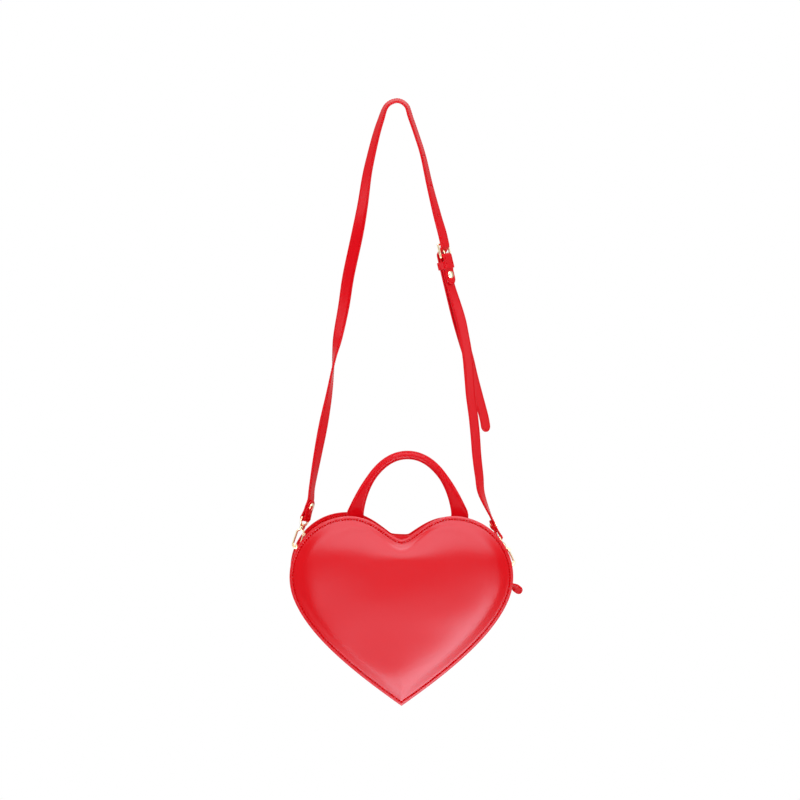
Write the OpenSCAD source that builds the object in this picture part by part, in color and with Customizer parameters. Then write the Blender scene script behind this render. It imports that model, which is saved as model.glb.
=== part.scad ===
// Heart shaped purse: two crowned leather hearts on a zipped gusset, a rolled top
// handle, and a shoulder strap clipped to two rings. It hangs by the strap.
// X runs to the right, Y to the back, Z up. The origin is the underside of the
// strap's top bend, where the purse hangs from a peg.

/* [Heart] */
// Width of the heart over both lobes
heart_w = 240; // [220:2:260]
// Radius of each round lobe
lobe_r = 65; // [60:1:68]
// Height of the cleft above the lobes' centres
cleft_z = 40; // [34:1:46]
// Drop of the point below the lobes' centres
tip_drop = 138.5; // [125:0.5:150]
// Slope of the sides where they meet at the point, in degrees
tip_slope = 35; // [30:1:42]
// Depth over the two panels' edges
bag_d = 64; // [58:1:80]
// Rise of each panel's middle over its edge
crown = 9; // [5:0.5:14]
// Thickness of the panel leather with its backing
panel_t = 2; // [1.6:0.1:2.6]
// How far the panels' edges stand out past the gusset
lip_w = 6; // [5.5:0.1:7]
// Thickness of the gusset leather
gusset_t = 1.6; // [1.2:0.1:2]
// Thickness of the stiffening boards
board_t = 1; // [0.8:0.1:1.6]
// Thickness of the lining cloth
lining_t = 0.6; // [0.4:0.1:1]

/* [Zip] */
// Width of the slot between the zip strips
zip_slot = 13; // [12:0.5:15]
// Angle below the lobes' centres where the zip strips end, in degrees
zip_end = 17; // [16:1:22]
// Width of each zip tape
tape_w = 11; // [10:0.5:13]
// Thickness of the zip tapes
tape_t = 0.7; // [0.5:0.1:0.9]
// Thickness of the teeth
tooth_t = 2.6; // [2.4:0.1:3]
// Distance from tooth to tooth in one row
tooth_pitch = 3.2; // [3.1:0.1:4]
// Length of the slider
slider_l = 11; // [9:0.5:12]
// Length of the leather pull
pull_l = 17; // [15:1:24]
// Width of the leather pull
pull_w = 8; // [6:0.5:9]
// Turn of the pull from straight out, towards the point, in degrees
pull_turn = 31; // [10:1:60]

/* [Handle] */
// Rise of the handle over the lobes' tops
handle_h = 64; // [50:1:85]
// Distance between the handle's feet, middle to middle
handle_span = 113; // [104:1:116]
// Diameter of the rolled part
handle_d = 8.6; // [8:0.1:10]
// Width of the flat feet
foot_w = 18; // [16:1:20]
// Thickness of the flat feet
foot_t = 3.4; // [3:0.1:4]
// Thickness of the leather rolled round the handle's core
wrap_t = 1.3; // [1:0.1:1.6]

/* [Strap] */
// Drop from the peg to the lobes' centres
hang_drop = 515; // [480:5:560]
// Width of the strap
strap_w = 14; // [13:0.5:14.5]
// Thickness of the strap
strap_t = 2.2; // [1.8:0.1:2.4]
// How far to the right of the peg the heart's middle hangs
bag_x = 4; // [0:1:8]
// How far in front of the strap the heart's middle plane hangs
ring_y = 15; // [14.5:0.5:16]
// Height of the left ring on its lobe, as an angle in degrees
ring_left = 28; // [26:1:32]
// Height of the right ring on its lobe, as an angle in degrees
ring_right = 10; // [9:1:14]
// Radius of the wire of the rings and the clasps' eyes
wire_r = 1.2; // [1:0.05:1.3]

/* [Hidden] */

// Facets of a full circle where a true curve is rebuilt
$fn = 48;
// Points along the cleft's side, the lobe's arc and the heart's side
cleft_steps = 6;
arc_steps = 12;
side_steps = 7;
// Where the cleft's curve starts and ends to bend, as shares of the lobe's place
cleft_top_share = 0.52;
cleft_low_share = 0.18;
// Angle below the lobe's centre where its arc ends, in degrees
arc_end = 23;
// Reach of the side's curve from the arc and from the point, as shares of the drop
side_start_share = 0.26;
side_end_share = 0.58;
// Height of the panels' middle, as a share of the drop
middle_share = -0.1;
// Places of the crown's rings, as shares of the way out from the middle
ring_shares = [0.94, 0.82, 0.62, 0.36];
// Clearance between pieces that move past each other
run_gap = 0.35;
// Clearance between pieces that are sewn or pressed together
seat_gap = 0.05;
// Overrun of cuts
over = 1;

lobe_x = heart_w / 2 - lobe_r;
half_d = bag_d / 2;
wall_d = lip_w + gusset_t;
bag_at = [bag_x, -ring_y, -hang_drop];

// Vector helpers
function unit(v) = v / norm(v);
function flat_dir(a) = [cos(a), 0, sin(a)];
function mix(a, b, t) = a * (1 - t) + b * t;
function bezier(p, t) =
    p[0] * pow(1 - t, 3) + p[1] * 3 * t * pow(1 - t, 2) + p[2] * 3 * t * t * (1 - t) + p[3] * pow(t, 3);
function bezier_dir(p, t) =
    unit((p[1] - p[0]) * pow(1 - t, 2) + (p[2] - p[1]) * 2 * t * (1 - t) + (p[3] - p[2]) * t * t);
function flip(points) = [for (i = [len(points) - 1:-1:0]) points[i]];
function mirrored(points) = [for (p = points) [-p[0], p[1]]];

// Smooth curve through a list of points, with some steps between each two
function smooth(p, steps) = concat(
    [for (i = [0:len(p) - 2]) for (k = [0:steps - 1]) smooth_at(p, i, k / steps)],
    [p[len(p) - 1]]
);
function smooth_at(p, i, t) =
    let (a = p[max(i - 1, 0)], b = p[i], c = p[i + 1], d = p[min(i + 2, len(p) - 1)])
    (b * 2 + (c - a) * t + (a * 2 - b * 5 + c * 4 - d) * t * t + (b * 3 - a - c * 3 + d) * t * t * t) / 2;

// Heart outline, drawn a given distance inside the panels' edge

// Right side of the cleft, from its middle to the top of the lobe
function cleft_side(inset) =
    let (p = [
        [0, cleft_z],
        [lobe_x * cleft_low_share, cleft_z],
        [lobe_x * cleft_top_share, lobe_r],
        [lobe_x, lobe_r]
    ])
    [for (i = [0:cleft_steps - 1]) let (t = i / cleft_steps, d = bezier_dir(p, t))
        bezier(p, t) + [d[1], -d[0]] * inset];
// Arc of the right lobe between two angles
function lobe_arc(inset, from, to, steps) =
    [for (i = [0:steps]) let (a = mix(from, to, i / steps))
        [lobe_x + (lobe_r - inset) * cos(a), (lobe_r - inset) * sin(a)]];
// Right side of the heart, from the end of the arc to the point
side_curve = let (
    start = lobe_arc(0, -arc_end, -arc_end, 1)[0],
    tip = [0, -tip_drop]
) [
    start,
    start + [-sin(arc_end), -cos(arc_end)] * tip_drop * side_start_share,
    tip + [cos(tip_slope), sin(tip_slope)] * tip_drop * side_end_share,
    tip
];
function heart_side(inset) =
    let (stop = 1 - inset * tan(tip_slope) / (3 * tip_drop * side_end_share))
    concat(
        [for (i = [1:side_steps - 1]) let (t = stop * i / side_steps, d = bezier_dir(side_curve, t))
            bezier(side_curve, t) + [d[1], -d[0]] * inset],
        [[0, -tip_drop + inset / cos(tip_slope)]]
    );
// Right half above the zip's end, and right half below it
function top_half(inset) = concat(cleft_side(inset), lobe_arc(inset, 90, -zip_end, arc_steps));
function low_half(inset) = concat(lobe_arc(inset, -zip_end, -arc_end, 1), heart_side(inset));
function right_half(inset) = concat(
    cleft_side(inset), lobe_arc(inset, 90, -zip_end, arc_steps),
    [lobe_arc(inset, -arc_end, -arc_end, 1)[0]], heart_side(inset)
);
function heart(inset) =
    let (h = right_half(inset), n = len(h))
    concat(h, [for (i = [n - 2:-1:1]) [-h[i][0], h[i][1]]]);
// Closed band between two insets, along the whole top or the right of the bottom
function band(path_out, path_in) = concat(path_out, flip(path_in));
function top_path(inset) = concat(flip(mirrored(top_half(inset))), [for (i = [1:len(top_half(inset)) - 1])
    top_half(inset)[i]]);

// Extrudes a drawing of the front view along Y
module along_y(from, to) {
    translate([0, to, 0])
    rotate([90, 0, 0])
    linear_extrude(to - from)
    children();
}
// Places the bag's own pieces under the strap
module in_bag() {
    translate(bag_at)
    children();
}
// Turns about the centre of a lobe: X out of the lobe, Z along it, upwards
module on_lobe(side, angle) {
    mirror([side < 0 ? 1 : 0, 0, 0])
    translate([lobe_x, 0, 0])
    rotate([0, -angle, 0])
    children();
}

// Crowned panels, boards and linings

middle = [0, tip_drop * middle_share];
function rise(share) = crown * pow(1 - pow(share, 2.4), 0.85);
function ring(share) = [for (p = heart(lip_w)) mix(middle, p, share)];
// Sheet that follows the panel's crown: flat outlines first, then the crowned rings
module crowned(outlines, shares, depth, thick) {
    flat = [for (o = outlines) [for (p = o) [p[0], -depth, p[1]]]];
    bowed = [for (s = shares) [for (p = ring(s)) [p[0], -depth - rise(s), p[1]]]];
    rings = concat(flat, bowed);
    n = len(rings[0]);
    m = len(rings);
    outer = concat([for (r = rings) each r], [[middle[0], -depth - crown, middle[1]]]);
    inner = [for (p = outer) p + [0, thick, 0]];
    half = len(outer);
    polyhedron(concat(outer, inner), concat(
        [for (k = [0:m - 2]) for (i = [0:n - 1]) let (j = (i + 1) % n)
            each [[k * n + i, k * n + j, (k + 1) * n + j], [k * n + i, (k + 1) * n + j, (k + 1) * n + i]]],
        [for (i = [0:n - 1]) let (j = (i + 1) % n) [(m - 1) * n + i, (m - 1) * n + j, half - 1]],
        [for (k = [0:m - 2]) for (i = [0:n - 1]) let (j = (i + 1) % n)
            each [
                [half + k * n + i, half + (k + 1) * n + j, half + k * n + j],
                [half + k * n + i, half + (k + 1) * n + i, half + (k + 1) * n + j]
            ]],
        [for (i = [0:n - 1]) let (j = (i + 1) % n)
            [half + (m - 1) * n + i, 2 * half - 1, half + (m - 1) * n + j]],
        [for (i = [0:n - 1]) let (j = (i + 1) % n) each [[i, half + i, half + j], [i, half + j, j]]]
    ));
}
module front_side(back) {
    in_bag()
    mirror([0, back ? 1 : 0, 0])
    children();
}
module panel(back) {
    color("crimson")
    front_side(back)
    crowned([heart(0), heart(lip_w)], ring_shares, half_d, panel_t);
}
module board(back) {
    color("tan")
    front_side(back)
    crowned([], ring_shares, half_d - panel_t - seat_gap, board_t);
}
module lining(back) {
    color("darkred")
    front_side(back)
    crowned([], ring_shares, half_d - panel_t - board_t - 2 * seat_gap, lining_t);
}
module front_panel() { panel(false); }
module back_panel() { panel(true); }
module front_board() { board(false); }
module back_board() { board(true); }
module front_lining() { lining(false); }
module back_lining() { lining(true); }

// Gusset: a wall with a turned-out flange along each panel

seam_y = half_d - panel_t;
module gusset_half() {
    along_y(-seam_y, seam_y)
    polygon(band(low_half(lip_w), low_half(wall_d)));
    for (y = [-seam_y, seam_y - gusset_t])
        along_y(y, y + gusset_t)
        polygon(band(low_half(0), low_half(lip_w)));
}
module gusset_right() {
    color("red")
    in_bag()
    gusset_half();
}
module gusset_left() {
    color("red")
    in_bag()
    mirror([1, 0, 0])
    gusset_half();
}
module gusset_lining() {
    edge = seam_y - panel_t;
    color("darkred")
    in_bag()
    for (side = [0, 1])
        mirror([side, 0, 0])
        along_y(-edge, edge)
        polygon(band(low_half(wall_d), low_half(wall_d + lining_t)));
}

// Zip

tooth_d = wall_d + tape_t / 2 - tooth_t / 2;
tooth_reach = 1.3;
root_y = 3.4;
root_w = 1.2;
chain_end = zip_end - 6.5;
module zip_strip() {
    along_y(-seam_y, -zip_slot / 2)
    polygon(band(top_path(lip_w), top_path(wall_d)));
    along_y(-seam_y, gusset_t - seam_y)
    polygon(band(top_path(0), top_path(lip_w)));
}
module zip_strip_front() {
    color("red")
    in_bag()
    zip_strip();
}
module zip_strip_back() {
    color("red")
    in_bag()
    mirror([0, 1, 0])
    zip_strip();
}
module zip_tape() {
    along_y(-root_y - tape_w, -root_y)
    polygon(band(top_path(wall_d), top_path(wall_d + tape_t)));
}
module zip_tape_front() {
    color("firebrick")
    in_bag()
    zip_tape();
}
module zip_tape_back() {
    color("firebrick")
    in_bag()
    mirror([0, 1, 0])
    zip_tape();
}

// The teeth's middle line over the top, from the left end to the right end
tooth_mid = tooth_d + tooth_t / 2;
chain_half = concat(cleft_side(tooth_mid), lobe_arc(tooth_mid, 90, -chain_end, arc_steps));
chain_path = concat(flip(mirrored(chain_half)), [for (i = [1:len(chain_half) - 1]) chain_half[i]]);
chain_steps = [for (i = [0:len(chain_path) - 2]) norm(chain_path[i + 1] - chain_path[i])];
chain_marks = [for (i = 0, s = 0; i < len(chain_path); s = s + (i < len(chain_steps) ? chain_steps[i] : 0),
    i = i + 1) s];
chain_length = chain_marks[len(chain_marks) - 1];
function chain_leg(s) = max([for (i = [0:len(chain_steps) - 1]) s >= chain_marks[i] ? i : 0]);
function chain_point(s) =
    let (i = chain_leg(s), t = (s - chain_marks[i]) / chain_steps[i])
    mix(chain_path[i], chain_path[i + 1], t);
function chain_turn(s) =
    let (d = chain_point(s + tooth_pitch) - chain_point(s - tooth_pitch / 2))
    atan2(d[1], d[0]);
module zip_teeth(offset_share) {
    count = floor(chain_length / tooth_pitch) - 1;
    tooth_w = tooth_pitch / 2 - seat_gap * 6;
    half = concat(cleft_side(tooth_d), lobe_arc(tooth_d, 90, -chain_end, arc_steps));
    low = concat(cleft_side(tooth_d + tooth_t), lobe_arc(tooth_d + tooth_t, 90, -chain_end, arc_steps));
    along_y(-root_y, root_w - root_y)
    polygon(concat(flip(mirrored(half)), [for (i = [1:len(half) - 1]) half[i]],
        flip(low), [for (i = [1:len(low) - 1]) [-low[i][0], low[i][1]]]));
    along_y(root_w - root_y, tooth_reach)
    for (i = [0:count - 1]) {
        s = (i + 0.75 + offset_share) * tooth_pitch;
        translate(chain_point(s))
        rotate(chain_turn(s))
        square([tooth_w, tooth_t], center = true);
    }
}
module zip_teeth_front() {
    color("gold")
    in_bag()
    zip_teeth(0);
}
module zip_teeth_back() {
    color("gold")
    in_bag()
    mirror([0, 1, 0])
    zip_teeth(0.5);
}
// Stops at both ends of the teeth: one across both rows at the left, one a row at the right
stop_l = 2.6;
module zip_stops() {
    from = chain_end + slider_l / lobe_r * 10;
    color("gold")
    in_bag() {
        on_lobe(-1, -chain_end)
        translate([lobe_r - tooth_mid - tooth_t / 2, -root_y, -stop_l - run_gap])
        cube([tooth_t, root_y * 2, stop_l]);
        for (y = [-root_y, root_y - root_w])
            on_lobe(1, -chain_end)
            translate([lobe_r - tooth_mid - tooth_t / 2, y, -stop_l - slider_nose - run_gap * 2])
            cube([tooth_t, root_w, stop_l]);
    }
}

// Slider, its bail, the link and the leather pull

slider_nose = 2;
slider_half = slider_l / 2;
slider_turn = slider_l / 2 / (lobe_r - tooth_mid) * 180 / PI;
nose_turn = slider_nose / (lobe_r - tooth_mid) * 180 / PI;
slider_at = nose_turn - chain_end + slider_turn - 2 * nose_turn;
slider_t = 1.3;
slider_w = root_y + run_gap + 0.9;
bail_r = 0.8;
bail_in = 1.9;
link_r = 0.7;
bail_w = 3.4;
plate_rad = lobe_r - tooth_d + run_gap + slider_t;
link_rad = plate_rad + link_r + run_gap / 2;
// Section of the slider's two plates with their edges turned in to the tape
module slider_section() {
    top = lobe_r - tooth_d + run_gap;
    low = lobe_r - tooth_d - tooth_t - run_gap;
    tape_top = lobe_r - wall_d + run_gap;
    tape_low = lobe_r - wall_d - tape_t - run_gap;
    translate([top, -slider_w])
    square([slider_t, slider_w * 2]);
    translate([low - slider_t, -slider_w])
    square([slider_t, slider_w * 2]);
    for (y = [-slider_w, root_y + run_gap]) {
        translate([tape_top, y])
        square([top - tape_top + slider_t / 2, slider_w - root_y - run_gap]);
        translate([low - slider_t / 2, y])
        square([tape_low - low + slider_t / 2, slider_w - root_y - run_gap]);
    }
}
// Turns a section about the lobe's centre, over an angle centred on the given one
module about_lobe(middle_turn, half_turn) {
    rotate([90, 0, 0])
    rotate([0, 0, middle_turn - half_turn])
    rotate_extrude(angle = half_turn * 2)
    children();
}
module zip_slider() {
    post = [tooth_t + run_gap * 2 + slider_t, slider_nose / 2];
    color("goldenrod")
    in_bag()
    on_lobe(1, slider_at) {
        about_lobe(0, slider_turn)
        slider_section();
        about_lobe(nose_turn / 2 - slider_turn, nose_turn / 2 - 0.1)
        translate([lobe_r - tooth_mid - post[0] / 2, -post[1] / 2])
        square(post);
        translate([plate_rad, 0, 0])
        rotate([90, 0, 0])
        translate([0, 0, -bail_w / 2])
        difference() {
            cylinder(h = bail_w, r = bail_in + bail_r * 2);
            translate([0, 0, -over])
            cylinder(h = bail_w + over * 2, r = bail_in);
            translate([-bail_in * 4 - slider_t / 2, -bail_in * 2, -over])
            cube([bail_in * 4, bail_in * 4, bail_w + over * 2]);
        }
    }
}
// The pull's own frame: X along the pull, away from the slider
module on_pull() {
    in_bag()
    on_lobe(1, slider_at)
    translate([link_rad, 0, 0])
    rotate([0, pull_turn, 0])
    children();
}
link_l = 5;
link_w = 7;
module zip_pull_link() {
    color("goldenrod")
    on_pull() {
        for (x = [0, link_l])
            translate([x, -link_w / 2, 0])
            rotate([-90, 0, 0])
            cylinder(h = link_w, r = link_r);
        for (y = [-1, 1])
            translate([0, y * (link_w / 2 - link_r), 0])
            rotate([0, 90, 0])
            cylinder(h = link_l, r = link_r);
    }
}
pull_t = 2.8;
module zip_pull() {
    hole_x = link_l - link_r;
    color("red")
    on_pull()
    difference() {
        union() {
            translate([link_l - pull_t / 2, -pull_w / 2, -pull_t / 2])
            cube([pull_l - pull_w / 2 - link_l + pull_t / 2, pull_w, pull_t]);
            translate([pull_l - pull_w / 2, 0, -pull_t / 2])
            cylinder(h = pull_t, r = pull_w / 2);
        }
        translate([link_l, -pull_w, 0])
        rotate([-90, 0, 0])
        cylinder(h = pull_w * 2, r = link_r + seat_gap);
        for (y = [-1, 1])
            translate([0, y * (link_w / 2 - link_r), 0])
            rotate([0, 90, 0])
            cylinder(h = link_l, r = link_r + seat_gap);
    }
}

// Handle: a leather tube rolled round a soft core, flat at its sewn feet

foot_l = 12;
foot_rise = foot_t / 2 + run_gap;
foot_y = zip_slot / 2 + foot_t;
handle_x = 7.3;
// Centre line of the right half, from the foot up to the top, in the front view
leg_curve = [
    [handle_span / 2, lobe_r],
    [handle_span * 0.456, lobe_r + handle_h * 0.3],
    [handle_span * 0.305, lobe_r + handle_h],
    [0, lobe_r + handle_h]
];
leg_steps = 11;
bend_steps = 3;
// How flat the tube is along the leg: 1 at the foot, 0 where it is round
function flatness(t) = pow(max(0, 1 - t * 1.9), 1.4);
function section(p, along, across, t) =
    let (
        f = flatness(t),
        side = unit(across - along * (across * along)),
        up = cross(along, side)
    )
    [p, side, up, mix(handle_d, foot_w, f) / 2, mix(handle_d, foot_t, f) / 2, mix(2, 5, f)];
// Right foot: out along the strip's surface and up into the leg
function foot_sections() =
    let (
        base = lobe_r - lip_w + foot_rise,
        bend = foot_t,
        start = [leg_curve[0][0], foot_y + bend, base],
        end = [leg_curve[0][0], foot_y, base + bend]
    )
    concat(
        [section(start + [0, foot_l, 0], [0, -1, 0], [1, 0, 0], 0)],
        [for (i = [0:bend_steps]) let (a = 90 * i / bend_steps)
            section(
                [start[0], end[1] + bend * (1 - sin(a)), start[2] + bend * (1 - cos(a))],
                [0, -cos(a), sin(a)], [1, 0, 0], 0
            )]
    );
function leg_sections() =
    [for (i = [1:leg_steps]) let (t = i / leg_steps, q = bezier(leg_curve, t), d = bezier_dir(leg_curve, t),
        along = [d[0], 0, d[1]])
        section([q[0], foot_y, q[1]], along, cross([0, 1, 0], along), t)];
function left_of(k) =
    [[-k[0][0], k[0][1], k[0][2]], [-k[1][0], k[1][1], k[1][2]], k[2], k[3], k[4], k[5]];
right_leg = concat(foot_sections(), leg_sections());
left_leg = [for (i = [len(right_leg) - 2:-1:0]) left_of(right_leg[i])];
handle_sections = concat(right_leg, left_leg);
// Points round one section, from an ellipse towards a rounded slab, without the seam side
function around(s, shrink, turns) =
    [for (a = turns) let (
        e = 2 / s[5],
        u = sign(cos(a)) * pow(abs(cos(a)), e) * (s[3] - shrink),
        v = sign(sin(a)) * pow(abs(sin(a)), e) * (s[4] - shrink)
    ) s[0] + s[1] * u + s[2] * v];
// Sides of the tube round the core
handle_sides = 12;
// The leather's edges meet at a seam along the outer side
seam_gap = 0.2;
function seam(s, shrink, side) = [s[0] + s[1] * (s[3] - shrink) + s[2] * side * seam_gap / 2];
wrap_turns = [for (i = [1:handle_sides - 1]) 360 * i / handle_sides];
function wrapped(s) = concat(
    seam(s, 0, 1), around(s, 0, wrap_turns), seam(s, 0, -1),
    seam(s, wrap_t, -1), around(s, wrap_t, flip(wrap_turns)), seam(s, wrap_t, 1)
);
// Skin over a list of rings with the same number of points
module skin(rings) {
    n = len(rings[0]);
    m = len(rings);
    polyhedron([for (r = rings) each r], concat(
        [for (k = [0:m - 2]) for (i = [0:n - 1]) let (j = (i + 1) % n)
            each [[k * n + i, (k + 1) * n + j, k * n + j], [k * n + i, (k + 1) * n + i, (k + 1) * n + j]]],
        [[for (i = [0:n - 1]) i], [for (i = [n - 1:-1:0]) (m - 1) * n + i]]
    ));
}
core_from = 8;
core_turns = [for (i = [0:handle_sides - 1]) 360 * i / handle_sides];
core_sections = [for (i = [core_from:len(handle_sections) - 1 - core_from]) handle_sections[i]];
module handle_place() {
    in_bag()
    translate([handle_x, 0, 0])
    children();
}
module handle_wrap() {
    color("red")
    handle_place()
    skin([for (s = handle_sections) wrapped(s)]);
}
module handle_core() {
    color("wheat")
    handle_place()
    skin([for (s = core_sections) around(s, wrap_t + seat_gap * 2, core_turns)]);
}

// Ring tabs and rings

tab_t = gusset_t;
tab_w = strap_w * 0.86;
ring_r = strap_w / 2 + wire_r;
loop_in = wire_r + seat_gap * 3;
tab_rad = lobe_r - lip_w + seat_gap * 4;
bar_rad = tab_rad + tab_t + loop_in;
contact_rad = lobe_r + loop_in;
contact_up = sqrt(ring_r * ring_r - pow(contact_rad - bar_rad, 2));
contact_turn = atan2(contact_up, contact_rad);
contact_reach = norm([contact_rad, contact_up]);
ring_lean = atan2(contact_rad - bar_rad, contact_up);
tab_turn = 15;
module ring_tab(side, angle) {
    in_bag()
    on_lobe(side, angle - contact_turn)
    translate([0, ring_y, 0])
    difference() {
        union() {
            translate([bar_rad, 0, 0])
            rotate([90, 0, 0])
            translate([0, 0, -tab_w / 2])
            cylinder(h = tab_w, r = loop_in + tab_t - seat_gap * 2);
            about_lobe(-tab_turn / 2, tab_turn / 2)
            translate([tab_rad, -tab_w / 2])
            square([tab_t * 2, tab_w]);
        }
        translate([bar_rad, 0, 0])
        rotate([90, 0, 0])
        translate([0, 0, -tab_w])
        cylinder(h = tab_w * 2, r = loop_in);
    }
}
module ring_tab_left() {
    color("red")
    ring_tab(-1, ring_left);
}
module ring_tab_right() {
    color("red")
    ring_tab(1, ring_right);
}
// D of wire in the YZ plane: a straight bar along Y, and a half round above it
module d_wire(radius) {
    rotate([90, 0, 0])
    translate([0, 0, -radius])
    cylinder(h = radius * 2, r = wire_r);
    for (y = [-radius, radius])
        translate([0, y, 0])
        sphere(r = wire_r);
    rotate([90, 0, 90])
    rotate_extrude(angle = 180)
    translate([radius, 0])
    circle(r = wire_r);
}
module d_ring(side, angle) {
    in_bag()
    on_lobe(side, angle - contact_turn)
    translate([bar_rad, ring_y, 0])
    rotate([0, ring_lean, 0])
    d_wire(ring_r);
}
module d_ring_left() {
    color("gold")
    d_ring(-1, ring_left);
}
module d_ring_right() {
    color("gold")
    d_ring(1, ring_right);
}

// Clasps: each hangs between a ring on the bag and the folded end of the strap

hook_in = 2.8;
hook_r = 1.2;
hook_leg = 13;
hook_play = 0.9;
bend_z = hook_in - wire_r - hook_play;
top_z = bend_z + hook_leg;
neck_r = 1.5;
collar_r = 2.9;
collar_z = top_z + hook_in + hook_r * 2 + run_gap;
collar_h = 3.6;
fold_out = loop_in + strap_t;
eye_r = norm([strap_w / 2 + wire_r + run_gap, fold_out]);
eye_z = collar_z + collar_h - wire_r + eye_r;
lean_left = 19;
swivel_right = 210;
chain_rad = lobe_r - lip_w + (hook_in + hook_r) * abs(cos(swivel_right)) + hook_r + run_gap * 2;
foot_down = sqrt(contact_reach * contact_reach - chain_rad * chain_rad);
lean_right = ring_right + atan2(foot_down, chain_rad);
// Where each ring's wire lies in its hook, in the whole part's frame
function contact_at(side, angle) = bag_at + [side * lobe_x, ring_y, 0]
    + [side * contact_reach * cos(angle), 0, contact_reach * sin(angle)];
left_contact = contact_at(-1, ring_left);
right_contact = contact_at(1, ring_right);
left_up = [sin(lean_left), 0, cos(lean_left)];
right_up = [-sin(lean_right), 0, cos(lean_right)];
// Clasp frame: Z along the pull, X from the spine to the gate
module clasp_place(side, swivel) {
    translate(side < 0 ? left_contact : right_contact)
    rotate([0, side < 0 ? lean_left : -lean_right, 0])
    rotate([0, 0, swivel])
    mirror([side < 0 ? 0 : 1, 0, 0])
    children();
}
left_bar_turn = 25;
module clasp_eye() {
    difference() {
        union() {
            translate([0, 0, eye_z])
            mirror([0, 0, 1])
            d_wire(eye_r);
            translate([0, 0, collar_z])
            cylinder(h = collar_h, r = collar_r);
        }
        translate([0, 0, collar_z - over])
        cylinder(h = collar_h + wire_r + over * 2, r = neck_r + run_gap / 4);
        translate([0, 0, collar_z + collar_h])
        cylinder(h = wire_r * 3, r = collar_r);
    }
}
module clasp_eye_left() {
    color("gold")
    clasp_place(-1, -left_bar_turn)
    clasp_eye();
}
module clasp_eye_right() {
    color("gold")
    clasp_place(1, 0)
    clasp_eye();
}
pivot_x = hook_in + hook_r;
gate_r = 1.1;
gate_eye_r = 1.9;
gate_w = 1.9;
pin_r = 0.6;
head_h = 1.1;
module clasp_hook() {
    // Spine and bottom bend with its open tip
    translate([-pivot_x, 0, bend_z])
    cylinder(h = hook_leg, r = hook_r);
    translate([0, 0, bend_z])
    rotate([90, 0, 0])
    rotate([0, 0, 180])
    rotate_extrude(angle = 180)
    translate([pivot_x, 0])
    circle(r = hook_r);
    // Top bend with two ears round the gate's pin
    translate([0, 0, top_z])
    rotate([90, 0, 0])
    difference() {
        union() {
            rotate_extrude(angle = 180)
            translate([pivot_x, 0])
            circle(r = hook_r);
            translate([pivot_x, 0, -gate_w / 2 - run_gap / 2 - head_h])
            cylinder(h = gate_w + run_gap + head_h * 2, r = gate_eye_r);
        }
        translate([pivot_x, 0, -gate_w / 2 - run_gap / 2])
        cylinder(h = gate_w + run_gap, r = gate_eye_r + run_gap);
        translate([pivot_x, 0, -gate_w * 3])
        cylinder(h = gate_w * 6, r = pin_r);
    }
    // Neck and head that turn in the eye's collar
    translate([0, 0, top_z + hook_in + hook_r])
    cylinder(h = collar_z + collar_h + run_gap + head_h - top_z - hook_in - hook_r, r = neck_r);
    translate([0, 0, top_z + hook_in + hook_r])
    cylinder(h = collar_z - top_z - hook_in - hook_r - run_gap, r = collar_r - run_gap);
    translate([0, 0, collar_z + collar_h + run_gap])
    cylinder(h = head_h, r = collar_r - run_gap * 2);
}
module clasp_gate() {
    difference() {
        union() {
            translate([pivot_x, gate_w / 2, top_z])
            rotate([90, 0, 0])
            cylinder(h = gate_w, r = gate_eye_r);
            translate([pivot_x, 0, bend_z + run_gap])
            cylinder(h = hook_leg - run_gap, r = gate_r);
        }
        translate([pivot_x, gate_w, top_z])
        rotate([90, 0, 0])
        cylinder(h = gate_w * 2, r = pin_r + seat_gap);
    }
}
module gate_pin() {
    translate([pivot_x, 0, top_z])
    rotate([90, 0, 0])
    translate([0, 0, -gate_w / 2 - run_gap / 2 - head_h])
    cylinder(h = gate_w + run_gap + head_h * 2, r = pin_r);
}
module clasp_hook_left() {
    color("gold")
    clasp_place(-1, 0)
    clasp_hook();
}
module clasp_hook_right() {
    color("gold")
    clasp_place(1, swivel_right)
    clasp_hook();
}
module clasp_gate_left() {
    color("khaki")
    clasp_place(-1, 0)
    clasp_gate();
}
module clasp_gate_right() {
    color("khaki")
    clasp_place(1, swivel_right)
    clasp_gate();
}
module gate_pin_left() {
    color("darkgoldenrod")
    clasp_place(-1, 0)
    gate_pin();
}
module gate_pin_right() {
    color("darkgoldenrod")
    clasp_place(1, swivel_right)
    gate_pin();
}

// Strap: each route point holds a place and the direction of the strap's width

fold_r = wire_r + seat_gap * 3 + strap_t / 2;
ply = strap_t / 2 + run_gap / 2;
flap_l = 14;
// A place by a bar: along the pull, and out along the strap's outer normal
function by_bar(bar, up, out, s, n) = bar + up * s + out * n;
function stop_at(p, w) = [p[0], p[1], p[2], w[0], w[1], w[2]];
left_bar = left_contact + left_up * eye_z;
right_bar = right_contact + right_up * eye_z;
left_w = [sin(left_bar_turn) * cos(lean_left), cos(left_bar_turn), -sin(left_bar_turn) * sin(lean_left)];
left_out = cross(left_up, left_w);
right_w = [0, 1, 0];
right_out = cross(right_w, right_up);
// Flap, fold and start of the run at a strap end, from the flap's end outwards
function folded(bar, up, out, w) = concat(
    [for (k = [1, 0.8, 0.58]) stop_at(by_bar(bar, up, out, flap_l * k, -ply), w)],
    [for (a = [-30:30:210]) stop_at(by_bar(bar, up, out, -fold_r * sin(a), -fold_r * cos(a)), w)],
    [for (k = [0.58, 0.8, 1, 1.5]) stop_at(by_bar(bar, up, out, flap_l * k, ply), w)]
);
// A place on a run, from shares of the heart's width and the strap's drop, with its turn
function on_run(x_share, z_share, turn, y) =
    [x_share * heart_w, y, -z_share * hang_drop, sin(turn), cos(turn), 0];

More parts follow.
